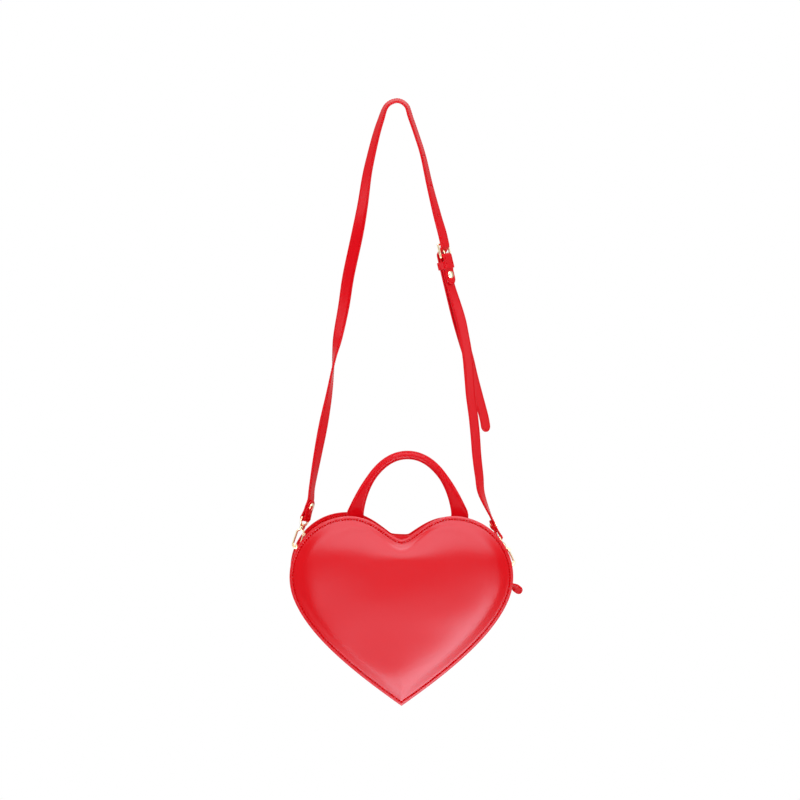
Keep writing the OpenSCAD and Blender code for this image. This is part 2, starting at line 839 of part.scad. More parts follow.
left_run_shares = [
    [-0.386, 0.815, 22], [-0.362, 0.751, 34], [-0.336, 0.687, 40], [-0.31, 0.623, 24],
    [-0.293, 0.57, 4], [-0.284, 0.538, -16], [-0.268, 0.496, -46], [-0.242, 0.433, -60],
    [-0.221, 0.369, -66], [-0.182, 0.284, -68], [-0.157, 0.221, -52], [-0.137, 0.157, -36],
    [-0.118, 0.115, -24], [-0.096, 0.073, -12], [-0.075, 0.041, -5]
];
right_run_shares = [
    [0.062, 0.034, 6], [0.091, 0.073, 12], [0.119, 0.115, 20], [0.149, 0.178, 29],
    [0.183, 0.241, 38]
];
short_run_shares = [
    [0.272, 0.454, 50], [0.294, 0.496, 52], [0.311, 0.538, 51], [0.319, 0.581, 49],
    [0.326, 0.623, 47], [0.339, 0.666, 46], [0.348, 0.708, 46], [0.355, 0.751, 44],
    [0.371, 0.794, 40], [0.385, 0.832, 29]
];
// The tail hangs behind the short strap: how far across and behind, as shares of its width
tail_shares = [
    [0.05, -0.45], [0.15, -0.42], [0.4, -0.4], [0.75, -0.36], [1.15, -0.3], [1.45, -0.25], [1.6, -0.2]
];
function on_tail(i) =
    let (p = short_run_shares[i], t = p[2], c = tail_shares[i] * strap_w)
    on_run(p[0], p[1], t, 0)
        + [c[0] * sin(t) + c[1] * cos(t), c[0] * cos(t) - c[1] * sin(t), 0, 0, 0, 0];

// Buckle: a frame with the short strap folded round its lower bar
buckle_at = [0.221 * heart_w, 0, -0.328 * hang_drop];
buckle_lean = 13;
buckle_turn = 42;
buckle_h = 14;
buckle_up = [-sin(buckle_lean), 0, cos(buckle_lean)];
buckle_side = [cos(buckle_lean), 0, sin(buckle_lean)];
buckle_w = buckle_side * sin(buckle_turn) + [0, cos(buckle_turn), 0];
buckle_out = buckle_side * cos(buckle_turn) - [0, sin(buckle_turn), 0];
tail_n = fold_r + strap_t + run_gap * 3;
function at_buckle(s, n) = stop_at(buckle_at + buckle_up * s + buckle_out * n, buckle_w);
// The buckle's frame as a module: X along the bars, Y away from the viewer, Z up the strap
module buckle_place() {
    translate(buckle_at)
    rotate([0, -buckle_lean, 0])
    rotate([0, 0, 90 - buckle_turn])
    children();
}

over_top = wire_r + strap_t / 2 + run_gap;
apex = [0, 0, strap_t / 2, 0, 1, 0];
// The long strap's way through the frame, as shares of its height and of the tail's depth
cross_shares = [
    [1, over_top / tail_n], [0.82, 0.9 * over_top / tail_n], [0.68, 0.24], [0.39, -0.64], [0.25, -0.94], [0, -1],
    [-0.6, -1], [-1.1, -1]
];
long_route = concat(
    folded(left_bar, left_up, left_out, left_w),
    [for (p = left_run_shares) on_run(p[0], p[1], p[2], 0)],
    [on_run(-0.048, 0.009, 0, 0), apex, on_run(0.042, 0.008, 0, 0)],
    [for (p = right_run_shares) on_run(p[0], p[1], p[2], 0)],
    [at_buckle(buckle_h * 1.9, over_top)],
    [for (c = cross_shares) at_buckle(c[0] * buckle_h, c[1] * tail_n)],
    [at_buckle(-buckle_h * 1.7, -tail_n)],
    [for (i = [0:len(tail_shares) - 1]) on_tail(i)]
);
first_hole = len(folded(left_bar, left_up, left_out, left_w)) + len(left_run_shares) + 5;
buckle_flap = 24.5;
short_route = concat(
    [for (k = [1, 0.8, 0.65]) at_buckle(-buckle_flap * k, 2 * ply - fold_r)],
    [at_buckle(-buckle_flap * 0.45, fold_r * 0.5), at_buckle(-buckle_flap * 0.25, fold_r * 0.95)],
    [for (a = [0:30:180]) at_buckle(fold_r * sin(a), fold_r * cos(a))],
    [for (k = [0.25, 0.65, 1, 1.35]) at_buckle(-buckle_flap * k, -fold_r)],
    [for (p = short_run_shares) on_run(p[0], p[1], p[2], 0)],
    flip(folded(right_bar, right_up, right_out, right_w))
);
// Place, side and normal of the strap at step i of its smoothed route
function strap_frame(p, i) =
    let (
        n = len(p),
        a = p[max(i - 1, 0)],
        b = p[min(i + 1, n - 1)],
        along = unit([b[0] - a[0], b[1] - a[1], b[2] - a[2]]),
        w = [p[i][3], p[i][4], p[i][5]],
        side = unit(w - along * (w * along))
    )
    [[p[i][0], p[i][1], p[i][2]], side, cross(along, side), along];
function strap_ring(f, on, half) =
    [for (c = [[-1, -1], [1, -1], [1, 1], [-1, 1]])
        f[0] + f[3] * on + f[1] * c[0] * half + f[2] * c[1] * strap_t / 2];
// Flat section at each step, with half round ends
end_turns = [14, 36, 62];
route_steps = 2;
module strap(route) {
    p = smooth(route, route_steps);
    frames = [for (i = [0:len(p) - 1]) strap_frame(p, i)];
    half = strap_w / 2;
    skin(concat(
        [for (a = end_turns) strap_ring(frames[0], -half * cos(a), half * sin(a))],
        [for (f = frames) strap_ring(f, 0, half)],
        [for (a = flip(end_turns)) strap_ring(frames[len(p) - 1], half * cos(a), half * sin(a))]
    ));
}
// Cutter through the strap at one point of its route
module strap_hole(route, i) {
    f = strap_frame(smooth(route, route_steps), i * route_steps);
    translate(f[0])
    rotate([0, acos(f[2][2]), atan2(f[2][1], f[2][0])])
    translate([0, 0, -strap_t])
    cylinder(h = strap_t * 2, r = hole_r);
}
hole_r = 1.6;
prong_r = 0.9;
prong_w = 2.4;
prong_turn = asin((wire_r + prong_r + seat_gap * 2) / buckle_h);
prong_swing = 5;
// Rivets: post through both plies, dome on the flap, low head behind
rivet_r = 4.2;
rivet_h = 1.8;
post_r = 1.4;
stack = ply + strap_t / 2;
module rivet() {
    translate([0, 0, -stack - seat_gap])
    cylinder(h = stack * 2 + seat_gap * 2, r = post_r);
    translate([0, 0, stack + seat_gap])
    intersection() {
        scale([1, 1, rivet_h / rivet_r])
        sphere(r = rivet_r);
        cylinder(h = rivet_r, r = rivet_r);
    }
    translate([0, 0, -stack - seat_gap * 2 - head_h * 0.6])
    cylinder(h = head_h * 0.6, r = post_r * 2);
}
module rivet_post() {
    translate([0, 0, -stack * 2])
    cylinder(h = stack * 4, r = post_r + seat_gap);
}
module at_left_rivet() {
    clasp_place(-1, -left_bar_turn)
    translate([0, 0, eye_z + flap_l])
    rotate([0, 90, 0])
    children();
}
module at_right_rivet() {
    clasp_place(1, 0)
    translate([0, 0, eye_z + flap_l])
    rotate([0, 90, 0])
    children();
}
module at_buckle_rivet() {
    buckle_place()
    translate([0, fold_r - ply, rivet_r - buckle_flap - seat_gap * 4])
    rotate([90, 0, 0])
    children();
}
module strap_rivets() {
    color("gold") {
        at_left_rivet()
        rivet();
        at_right_rivet()
        rivet();
        at_buckle_rivet()
        rivet();
    }
}
module strap_long() {
    color("crimson")
    difference() {
        strap(long_route);
        at_left_rivet()
        rivet_post();
        for (i = [0:2])
            strap_hole(long_route, first_hole + i);
        strap_hole(long_route, len(long_route) - len(tail_shares));
        buckle_place()
        for (a = [0, prong_swing / 2, prong_swing])
            rotate([-prong_turn - a, 0, 0])
            translate([0, 0, buckle_h * 0.2])
            cylinder(h = buckle_h, r = prong_r + run_gap);
    }
}
module strap_short() {
    slot_l = fold_r * 3;
    color("crimson")
    difference() {
        strap(short_route);
        at_right_rivet()
        rivet_post();
        at_buckle_rivet()
        rivet_post();
        buckle_place()
        translate([-prong_w / 2 - run_gap, -slot_l / 2, -slot_l / 2])
        cube([prong_w + run_gap * 2, slot_l, slot_l]);
    }
}
frame_half = strap_w / 2 + wire_r + run_gap;
module buckle_frame() {
    color("gold")
    buckle_place() {
        for (z = [0, buckle_h])
            translate([-frame_half, 0, z])
            rotate([0, 90, 0])
            cylinder(h = frame_half * 2, r = wire_r);
        for (x = [-frame_half, frame_half])
            translate([x, 0, 0])
            cylinder(h = buckle_h, r = wire_r);
        for (x = [-frame_half, frame_half], z = [0, buckle_h])
            translate([x, 0, z])
            sphere(r = wire_r);
    }
}
// Prong: an eye round the lower bar and a rod that rests on the upper one
module buckle_prong() {
    color("goldenrod")
    buckle_place()
    difference() {
        union() {
            translate([-prong_w / 2, 0, 0])
            rotate([0, 90, 0])
            cylinder(h = prong_w, r = loop_in + prong_r * 1.2);
            rotate([-prong_turn, 0, 0])
            cylinder(h = buckle_h + wire_r * 2, r = prong_r);
        }
        translate([-prong_w, 0, 0])
        rotate([0, 90, 0])
        cylinder(h = prong_w * 2, r = loop_in);
    }
}
// Keeper: a leather loop round the plies and the tail below the buckle
keeper_h = 10;
keeper_t = 1.5;
keeper_s = 10;
module keeper() {
    half = strap_w / 2 + run_gap;
    near = fold_r + strap_t / 2 + run_gap;
    far = tail_n + strap_t / 2 + run_gap;
    color("red")
    buckle_place()
    translate([0, 0, -keeper_s - keeper_h / 2])
    difference() {
        translate([-half - keeper_t, -near - keeper_t, 0])
        cube([half * 2 + keeper_t * 2, near + far + keeper_t * 2, keeper_h]);
        translate([-half, -near, -over])
        cube([half * 2, near + far, keeper_h + over * 2]);
    }
}

front_panel();
back_panel();
front_board();
back_board();
front_lining();
back_lining();
gusset_left();
gusset_right();
gusset_lining();
zip_strip_front();
zip_strip_back();
zip_tape_front();
zip_tape_back();
zip_teeth_front();
zip_teeth_back();
zip_stops();
zip_slider();
zip_pull_link();
zip_pull();
handle_wrap();
handle_core();
ring_tab_left();
ring_tab_right();
d_ring_left();
d_ring_right();
strap_long();
strap_short();
strap_rivets();
buckle_frame();
buckle_prong();
keeper();
clasp_eye_left();
clasp_eye_right();
clasp_hook_left();
clasp_hook_right();
clasp_gate_left();
clasp_gate_right();
gate_pin_left();
gate_pin_right();
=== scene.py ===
"""Looks of the heart shaped purse: leather, stitching, zip, metal and studio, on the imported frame."""

import logging
import math
from dataclasses import dataclass, field
from enum import Enum
from typing import Any, Iterable, NamedTuple, Sequence

import bmesh
import bpy
import numpy as np
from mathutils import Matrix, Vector


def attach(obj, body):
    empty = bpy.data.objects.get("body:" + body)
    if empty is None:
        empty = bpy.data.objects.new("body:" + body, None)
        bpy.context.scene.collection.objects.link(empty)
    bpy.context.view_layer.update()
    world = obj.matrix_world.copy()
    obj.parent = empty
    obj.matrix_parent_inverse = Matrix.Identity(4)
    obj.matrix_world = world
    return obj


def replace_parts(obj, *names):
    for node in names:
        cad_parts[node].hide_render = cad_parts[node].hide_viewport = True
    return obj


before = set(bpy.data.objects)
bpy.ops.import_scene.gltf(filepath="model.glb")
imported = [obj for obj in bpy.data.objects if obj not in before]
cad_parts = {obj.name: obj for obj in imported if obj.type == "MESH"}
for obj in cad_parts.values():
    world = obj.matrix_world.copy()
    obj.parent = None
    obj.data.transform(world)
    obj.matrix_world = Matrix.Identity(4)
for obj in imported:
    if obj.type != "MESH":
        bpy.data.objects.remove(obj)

LOG = logging.getLogger("purse")
MM = 0.001
WAVE_PERIOD = 0.314  # distance at which a wave texture of scale 1 repeats
Array = np.ndarray
Colour = tuple[float, float, float]
Profile = Sequence[tuple[float, float]]


# Shader graphs


class Signal:
    """An output of a shader node that takes part in arithmetic."""

    def __init__(self, graph: "Graph", socket: bpy.types.NodeSocket | None) -> None:
        """Wraps a socket of a graph."""
        self.graph = graph
        self.socket = socket

    def out(self, name: str) -> "Signal":
        """Another output of the same node."""
        return Signal(self.graph, self.socket.node.outputs[name])

    def _math(self, operation: str, a: "Signal | float", b: "Signal | float") -> "Signal":
        """A Math node on two values."""
        return self.graph.node("ShaderNodeMath", {"operation": operation}, {0: a, 1: b})

    def __add__(self, other: "Signal | float") -> "Signal":
        """self + other."""
        return self._math("ADD", self, other)

    def __radd__(self, other: "Signal | float") -> "Signal":
        """other + self."""
        return self._math("ADD", other, self)

    def __sub__(self, other: "Signal | float") -> "Signal":
        """self - other."""
        return self._math("SUBTRACT", self, other)

    def __rsub__(self, other: "Signal | float") -> "Signal":
        """other - self."""
        return self._math("SUBTRACT", other, self)

    def __mul__(self, other: "Signal | float") -> "Signal":
        """self * other."""
        return self._math("MULTIPLY", self, other)

    def __rmul__(self, other: "Signal | float") -> "Signal":
        """other * self."""
        return self._math("MULTIPLY", other, self)


@dataclass(frozen=True)
class Step:
    """A soft step from low to high while a value goes from start to end."""

    start: float
    end: float
    low: float = 0.0
    high: float = 1.0


class Graph:
    """A node tree under construction, of a material or of the world."""

    def __init__(self, name: str, world: bool = False) -> None:
        """Starts an empty node material, or world, of that name.

        Args:
            name: its name.
            world: whether the tree belongs to a world.
        """
        self.owner = (bpy.data.worlds if world else bpy.data.materials).new(name)
        self.owner.use_nodes = True
        self.tree = self.owner.node_tree
        self.tree.nodes.clear()

    def node(
        self,
        kind: str,
        settings: dict[str, Any] | None = None,
        inputs: dict[Any, Any] | None = None,
    ) -> Signal:
        """Adds one node.

        Args:
            kind: the node's type.
            settings: properties to set first.
            inputs: values or signals by socket name or number.

        Returns:
            The node's first output, or an empty signal from a node without outputs.
        """
        made = self.tree.nodes.new(kind)
        for key, value in (settings or {}).items():
            setattr(made, key, value)
        for key, value in (inputs or {}).items():
            socket = made.inputs[key]
            if isinstance(value, Signal):
                self.tree.links.new(value.socket, socket)
            else:
                socket.default_value = value
        return Signal(self, made.outputs[0] if made.outputs else None)

    def place(self) -> Signal:
        """The Object coordinates, in metres."""
        return self.node("ShaderNodeTexCoord").out("Object")

    def noise(self, where: Signal, size: float, detail: float = 3.0, rough: float = 0.5) -> Signal:
        """Noise whose blotches are about size metres across.

        Args:
            where: coordinates in metres.
            size: width of a blotch in metres.
            detail: octaves of finer noise.
            rough: strength of the finer noise.

        Returns:
            The noise, from 0 to 1.
        """
        return self.node(
            "ShaderNodeTexNoise",
            {},
            {"Vector": where, "Scale": 1.0 / size, "Detail": detail, "Roughness": rough},
        )

    def cells(self, where: Signal, size: float) -> Signal:
        """Distance from the middle of rounded cells about size metres across.

        Args:
            where: coordinates in metres.
            size: width of a cell in metres.

        Returns:
            The distance.
        """
        return self.node(
            "ShaderNodeTexVoronoi",
            {"feature": "SMOOTH_F1"},
            {"Vector": where, "Scale": 1.0 / size, "Smoothness": 0.6},
        )

    def blend(self, share: Signal | float, first: Signal | Colour, second: Signal | Colour) -> Signal:
        """Mixes two colours by a share, in a Mix node, which names its colour sockets by number.

        Args:
            share: share of the second colour.
            first: one colour.
            second: the other colour.

        Returns:
            The mixed colour.
        """
        mixed = self.node(
            "ShaderNodeMix",
            {"data_type": "RGBA"},
            {0: share, 6: self._rgba(first), 7: self._rgba(second)},
        )
        return Signal(self, mixed.socket.node.outputs[2])

    def _rgba(self, colour: Signal | Colour) -> Signal | tuple[float, ...]:
        """A colour with alpha, or the signal itself."""
        return colour if isinstance(colour, Signal) else (*colour, 1.0)

    def ramp(self, value: Signal, step: Step) -> Signal:
        """Takes a value through a soft step."""
        ends = {"From Min": step.start, "From Max": step.end, "To Min": step.low, "To Max": step.high}
        return self.node("ShaderNodeMapRange", {"interpolation_type": "SMOOTHSTEP"}, {"Value": value, **ends})

    def bump(self, height: Signal, depth: float, strength: float, under: Signal | None = None) -> Signal:
        """A Bump node of that depth in metres, on top of another where one is given.

        Args:
            height: the relief.
            depth: metres of relief at height 1.
            strength: how strongly it shows.
            under: a normal to build on.

        Returns:
            The normal.
        """
        inputs: dict[Any, Any] = {"Strength": strength, "Distance": depth, "Height": height}
        if under is not None:
            inputs["Normal"] = under
        return self.node("ShaderNodeBump", {}, inputs)

    def finish(self, inputs: dict[str, Any]) -> bpy.types.Material:
        """Ends the graph in a Principled shader with those inputs.

        Args:
            inputs: values or signals by socket name.

        Returns:
            The finished material.
        """
        shader = self.node("ShaderNodeBsdfPrincipled", {}, inputs)
        self.node("ShaderNodeOutputMaterial", {}, {"Surface": shader})
        return self.owner


# Finishes


@dataclass(frozen=True)
class LeatherFinish:
    """Smooth coated leather with a fine grain and a soft gloss."""

    name: str
    colour: Colour
    deep: Colour
    roughness: float = 0.21
    coat: float = 0.06
    coat_roughness: float = 0.14
    shine: float = 0.55
    shine_tint: Colour = (0.2, 0.85, 1.0)
    grain_size: float = 0.0011
    grain_depth: float = 0.00012
    grain_strength: float = 0.35
    blotch_size: float = 0.06
    blotch_share: float = 0.35
    blotch_wear: float = 0.06
    mark_size: float = 0.004
    mark_share: float = 0.15
    mark_wear: float = 0.05
    mark_depth: float = 0.0003
    mark_strength: float = 0.12

    def material(self) -> bpy.types.Material:
        """Builds the leather.

        Returns:
            The material.
        """
        g = Graph(self.name)
        where = g.place()
        blotch = g.noise(where, self.blotch_size, 2.0)
        mark = g.noise(where, self.mark_size, 4.0, 0.6)
        grain = g.cells(where, self.grain_size)
        colour = g.blend(blotch * self.blotch_share + mark * self.mark_share, self.colour, self.deep)
        rough = self.roughness - 0.05 + blotch * self.blotch_wear + mark * self.mark_wear
        under = g.bump(mark, self.mark_depth, self.mark_strength)
        normal = g.bump(grain, self.grain_depth, self.grain_strength, under)
        return g.finish(
            {
                "Base Color": colour,
                "Roughness": rough,
                "Coat Weight": self.coat,
                "Coat Roughness": self.coat_roughness,
                "Specular IOR Level": self.shine,
                "Specular Tint": (*self.shine_tint, 1.0),
                "Normal": normal,
            }
        )


@dataclass(frozen=True)
class ThreadFinish:
    """Waxed sewing thread with its twist."""

    name: str
    colour: Colour
    roughness: float = 0.8
    shine: float = 0.04
    twist_scale: float = 700.0
    twist_depth: float = 0.00012
    shadow: float = 0.7

    def material(self) -> bpy.types.Material:
        """Builds the thread.

        Returns:
            The material.
        """
        g = Graph(self.name)
        where = g.place()
        twist = g.node(
            "ShaderNodeTexWave",
            {"wave_type": "BANDS", "bands_direction": "DIAGONAL"},
            {"Vector": where, "Scale": self.twist_scale, "Distortion": 1.5},
        ).out("Fac")
        shade = g.blend(twist * 0.5, self.colour, tuple(c * self.shadow for c in self.colour))
        return g.finish(
            {
                "Base Color": shade,
                "Roughness": self.roughness,
                "Specular IOR Level": self.shine,
                "Normal": g.bump(twist, self.twist_depth, 0.5),
            }
        )


@dataclass(frozen=True)
class GoldFinish:
    """Polished pale gold plating with faint handling marks."""

    name: str
    colour: Colour
    warm: Colour
    roughness: float = 0.16
    blotch_size: float = 0.009
    scratch_size: float = 0.0012
    scratch_depth: float = 0.00003

    def material(self) -> bpy.types.Material:
        """Builds the metal.

        Returns:
            The material.
        """
        g = Graph(self.name)
        where = g.place()
        blotch = g.noise(where, self.blotch_size, 3.0)
        scratch = g.noise(where, self.scratch_size, 5.0, 0.7)
        return g.finish(
            {
                "Base Color": g.blend(blotch * 0.6, self.colour, self.warm),
                "Metallic": 1.0,
                "Roughness": self.roughness - 0.03 + scratch * 0.1,
                "Normal": g.bump(scratch, self.scratch_depth, 0.3),
            }
        )


@dataclass(frozen=True)
class WeaveFinish:
    """Woven cloth: crossing threads with a dull sheen."""

    name: str
    colour: Colour
    shadow: Colour
    thread: float = 0.0006
    roughness: float = 0.8
    worn_size: float = 0.02
    thread_depth: float = 0.00025

    def material(self) -> bpy.types.Material:
        """Builds the weave.

        Returns:
            The material.
        """
        g = Graph(self.name)
        where = g.place()
        rows = [
            g.node(
                "ShaderNodeTexWave",
                {"wave_type": "BANDS", "bands_direction": way},
                {"Vector": where, "Scale": WAVE_PERIOD / self.thread, "Distortion": 0.4},
            ).out("Fac")
            for way in ("X", "Y", "Z")
        ]
        threads = rows[0] * 0.34 + rows[1] * 0.33 + rows[2] * 0.33
        worn = g.noise(where, self.worn_size, 3.0)
        return g.finish(
            {
                "Base Color": g.blend(threads * 0.5 + worn * 0.3, self.shadow, self.colour),
                "Roughness": self.roughness,
                "Normal": g.bump(threads, self.thread_depth, 0.6),
            }
        )


@dataclass(frozen=True)
class DyedFinish:
    """Dyed solid material: moulded zip teeth or grey board."""

    name: str
    colour: Colour
    roughness: float = 0.3
    coat: float = 0.2
    speck_size: float = 0.002
    speck_depth: float = 0.00005
    shadow: float = 0.7

    def material(self) -> bpy.types.Material:
        """Builds the dyed surface.

        Returns:
            The material.
        """
        g = Graph(self.name)
        speck = g.noise(g.place(), self.speck_size, 3.0)
        return g.finish(
            {
                "Base Color": g.blend(speck * 0.4, self.colour, tuple(c * self.shadow for c in self.colour)),
                "Roughness": self.roughness - 0.04 + speck * 0.1,
                "Coat Weight": self.coat,
                "Normal": g.bump(speck, self.speck_depth, 0.3),
            }
        )


class Finish(Enum):
    """The purse's finishes."""

    PANEL = LeatherFinish("panel_leather", (0.78, 0.003, 0.007), (0.7, 0.002, 0.005))
    TRIM = LeatherFinish(
        "trim_leather", (0.76, 0.003, 0.009), (0.66, 0.002, 0.006), shine=0.15, grain_size=0.0009
    )
    THREAD = ThreadFinish("red_thread", (0.72, 0.0, 0.002))
    SEAM = ThreadFinish("seam_thread", (0.68, 0.002, 0.006))
    GOLD = GoldFinish("pale_gold", (0.97, 0.85, 0.6), (0.9, 0.7, 0.42))
    TAPE = WeaveFinish("zip_tape_weave", (0.5, 0.006, 0.014), (0.3, 0.003, 0.007))
    LINING = WeaveFinish("lining_weave", (0.4, 0.01, 0.02), (0.22, 0.005, 0.01), thread=0.0005)
    TEETH = DyedFinish("zip_teeth_dye", (0.55, 0.006, 0.014))
    BOARD = DyedFinish("grey_board", (0.55, 0.47, 0.36), roughness=0.85, coat=0.0)
    CORE = WeaveFinish("core_cord", (0.62, 0.56, 0.44), (0.4, 0.36, 0.28), thread=0.0012)


@dataclass
class Wardrobe:
    """Builds each finish once."""

    made: dict[Finish, bpy.types.Material] = field(default_factory=dict)

    def __getitem__(self, finish: Finish) -> bpy.types.Material:
        """The finish's material.

        Args:
            finish: which finish.

        Returns:
            Its material, built at the first call.
        """
        if finish not in self.made:
            self.made[finish] = finish.value.material()
        return self.made[finish]


WARDROBE = Wardrobe()


# Vector and mesh helpers


def unit(v: Sequence[float] | Array) -> Array:
    """The vector at length one."""
    v = np.asarray(v, float)
    return v / np.linalg.norm(v)


def bezier(p: Array, t: Array) -> tuple[Array, Array]:
    """Points and directions of a cubic curve.

    Args:
        p: its four control points.
        t: shares of the way along it.

    Returns:
        The points and the unit directions there.
    """
    t = np.asarray(t)[:, None]
    at = p[0] * (1 - t) ** 3 + p[1] * 3 * t * (1 - t) ** 2 + p[2] * 3 * t * t * (1 - t) + p[3] * t**3
    way = (p[1] - p[0]) * (1 - t) ** 2 + (p[2] - p[1]) * 2 * t * (1 - t) + (p[3] - p[2]) * t * t
    return at, way / np.linalg.norm(way, axis=1)[:, None]


def mesh_piece(
    name: str,
    points: Array,
    faces: Iterable[Sequence[int]],
    finish: Finish,
    merge: float = 0.00002,
) -> bpy.types.Object:
    """A closed smooth mesh in the purse's frame.

    Args:
        name: the object's name.
        points: its vertices, in millimetres.
        faces: vertex numbers of each face.
        finish: its finish.
        merge: vertices closer than this, in metres, become one.

    Returns:
        The object, at the origin.
    """
    mesh = bpy.data.meshes.new(name)
    mesh.from_pydata((np.asarray(points, float) * MM).tolist(), [], [list(f) for f in faces])
    shape = bmesh.new()
    shape.from_mesh(mesh)
    bmesh.ops.remove_doubles(shape, verts=shape.verts, dist=merge)
    bmesh.ops.recalc_face_normals(shape, faces=shape.faces)
    shape.to_mesh(mesh)
    shape.free()
    mesh.materials.append(WARDROBE[finish])
    piece = bpy.data.objects.new(name, mesh)
    bpy.context.scene.collection.objects.link(piece)
    mesh.shade_smooth()
    return piece


def grid_faces(rows: int, columns: int, wrap: bool = True) -> list[list[int]]:
    """Quads between rings of points.

    Args:
        rows: number of rings.
        columns: points in each ring.
        wrap: whether the rings are closed.

    Returns:
        The faces' vertex numbers.
    """
    faces = []
    for r in range(rows - 1):
        for c in range(columns if wrap else columns - 1):
            d = (c + 1) % columns
            faces.append([r * columns + c, r * columns + d, (r + 1) * columns + d, (r + 1) * columns + c])
    return faces


def tube(rings: Sequence[Array], closed: bool = False) -> tuple[Array, list[list[int]]]:
    """Joins rings of points into a closed skin, capped at both ends or run round to its start.

    Args:
        rings: the rings, with the same count of points.
        closed: whether the last ring meets the first.

    Returns:
        The points and the faces' vertex numbers.
    """
    rows, columns = len(rings), len(rings[0])
    faces = grid_faces(rows, columns)
    if closed:
        last = (rows - 1) * columns
        faces += [
            [last + c, last + (c + 1) % columns, (c + 1) % columns, c] for c in range(columns)
        ]
    else:
        faces.append(list(range(columns)))
        faces.append([(rows - 1) * columns + c for c in reversed(range(columns))])
    return np.concatenate(rings), faces


def bend(piece: bpy.types.Object, angle: float = 40.0) -> bpy.types.Object:
    """Marks edges sharper than an angle in degrees, so that they shade crisp.

    Args:
        piece: the piece.
        angle: the angle in degrees.

    Returns:
        The same piece.
    """
    shape = bmesh.new()
    shape.from_mesh(piece.data)
    for edge in shape.edges:
        if len(edge.link_faces) == 2 and edge.calc_face_angle(0.0) > math.radians(angle):
            edge.smooth = False
    shape.to_mesh(piece.data)
    shape.free()
    return piece


def settle(piece: bpy.types.Object) -> None:
    """Turns a piece and its modifiers into a plain mesh.

    Args:
        piece: the piece.
    """
    graph = bpy.context.evaluated_depsgraph_get()
    plain = bpy.data.meshes.new_from_object(piece.evaluated_get(graph), depsgraph=graph)
    piece.modifiers.clear()
    piece.data = plain


# Repeats along paths


@dataclass
class Row:
    """A line that something repeats along, with the outward direction at each point."""

    points: Array
    ups: Array
    closed: bool = False


class RepeatTree:
    """Geometry Nodes tree that sets copies of one piece at an even pitch along edges."""

    def __init__(self) -> None:
        """Builds the tree with its named inputs."""
        tree = bpy.data.node_groups.new("repeat_along_rows", "GeometryNodeTree")
        face = tree.interface
        kinds = {"Rows": "Geometry", "Pitch": "Float", "Piece": "Object", "Finish": "Material"}
        for name, kind in kinds.items():
            face.new_socket(name, in_out="INPUT", socket_type=f"NodeSocket{kind}")
        face.new_socket("Geometry", in_out="OUTPUT", socket_type="NodeSocketGeometry")
        new = tree.nodes.new
        start, end = new("NodeGroupInput"), new("NodeGroupOutput")
        curve, even = new("GeometryNodeMeshToCurve"), new("GeometryNodeResampleCurve")
        even.mode = "LENGTH"
        info, place = new("GeometryNodeObjectInfo"), new("GeometryNodeInstanceOnPoints")
        up = new("GeometryNodeInputNamedAttribute")
        up.data_type = "FLOAT_VECTOR"
        up.inputs["Name"].default_value = "up"
        along = new("GeometryNodeInputTangent")
        first, second = new("FunctionNodeAlignRotationToVector"), new("FunctionNodeAlignRotationToVector")
        first.axis, second.axis, second.pivot_axis = "X", "Z", "X"
        real, paint = new("GeometryNodeRealizeInstances"), new("GeometryNodeSetMaterial")
        for source, out, target, into in (
            (start, "Rows", curve, "Mesh"), (curve, "Curve", even, "Curve"), (start, "Pitch", even, "Length"),
            (along, "Tangent", first, "Vector"), (first, "Rotation", second, "Rotation"),
            (up, "Attribute", second, "Vector"), (start, "Piece", info, "Object"),
            (even, "Curve", place, "Points"), (info, "Geometry", place, "Instance"),
            (second, "Rotation", place, "Rotation"), (place, "Instances", real, "Geometry"),
            (real, "Geometry", paint, "Geometry"), (start, "Finish", paint, "Material"),
            (paint, "Geometry", end, "Geometry"),
        ):
            tree.links.new(source.outputs[out], target.inputs[into])
        self.tree = tree
        self.keys = {item.name: item.identifier for item in face.items_tree if item.in_out == "INPUT"}

    def lay(
        self, name: str, rows: Sequence[Row], pitch: float, pattern: bpy.types.Object, finish: Finish
    ) -> bpy.types.Object:
        """Sets copies of a pattern piece along rows.

        Args:
            name: the new object's name.
            rows: the lines to follow, in millimetres.
            pitch: distance between copies, in millimetres.
            pattern: the piece to repeat, X along the row and Z outwards.
            finish: the copies' finish.

        Returns:
            One plain mesh object with all the copies.
        """
        points = np.concatenate([row.points for row in rows]) * MM
        ups = np.concatenate([row.ups for row in rows])
        edges, at = [], 0
        for row in rows:
            count = len(row.points)
            edges += [(at + i, at + i + 1) for i in range(count - 1)]
            if row.closed:
                edges.append((at + count - 1, at))
            at += count
        mesh = bpy.data.meshes.new(name)
        mesh.from_pydata(points.tolist(), edges, [])
        attribute = mesh.attributes.new("up", "FLOAT_VECTOR", "POINT")
        attribute.data.foreach_set("vector", ups.astype(np.float32).ravel())
        piece = bpy.data.objects.new(name, mesh)
        bpy.context.scene.collection.objects.link(piece)
        modifier = piece.modifiers.new("repeat", "NODES")
        modifier.node_group = self.tree
        modifier[self.keys["Pitch"]] = pitch * MM
        modifier[self.keys["Piece"]] = pattern
        modifier[self.keys["Finish"]] = WARDROBE[finish]
        settle(piece)
        piece.data.name = name
        piece.data.shade_smooth()
        return piece


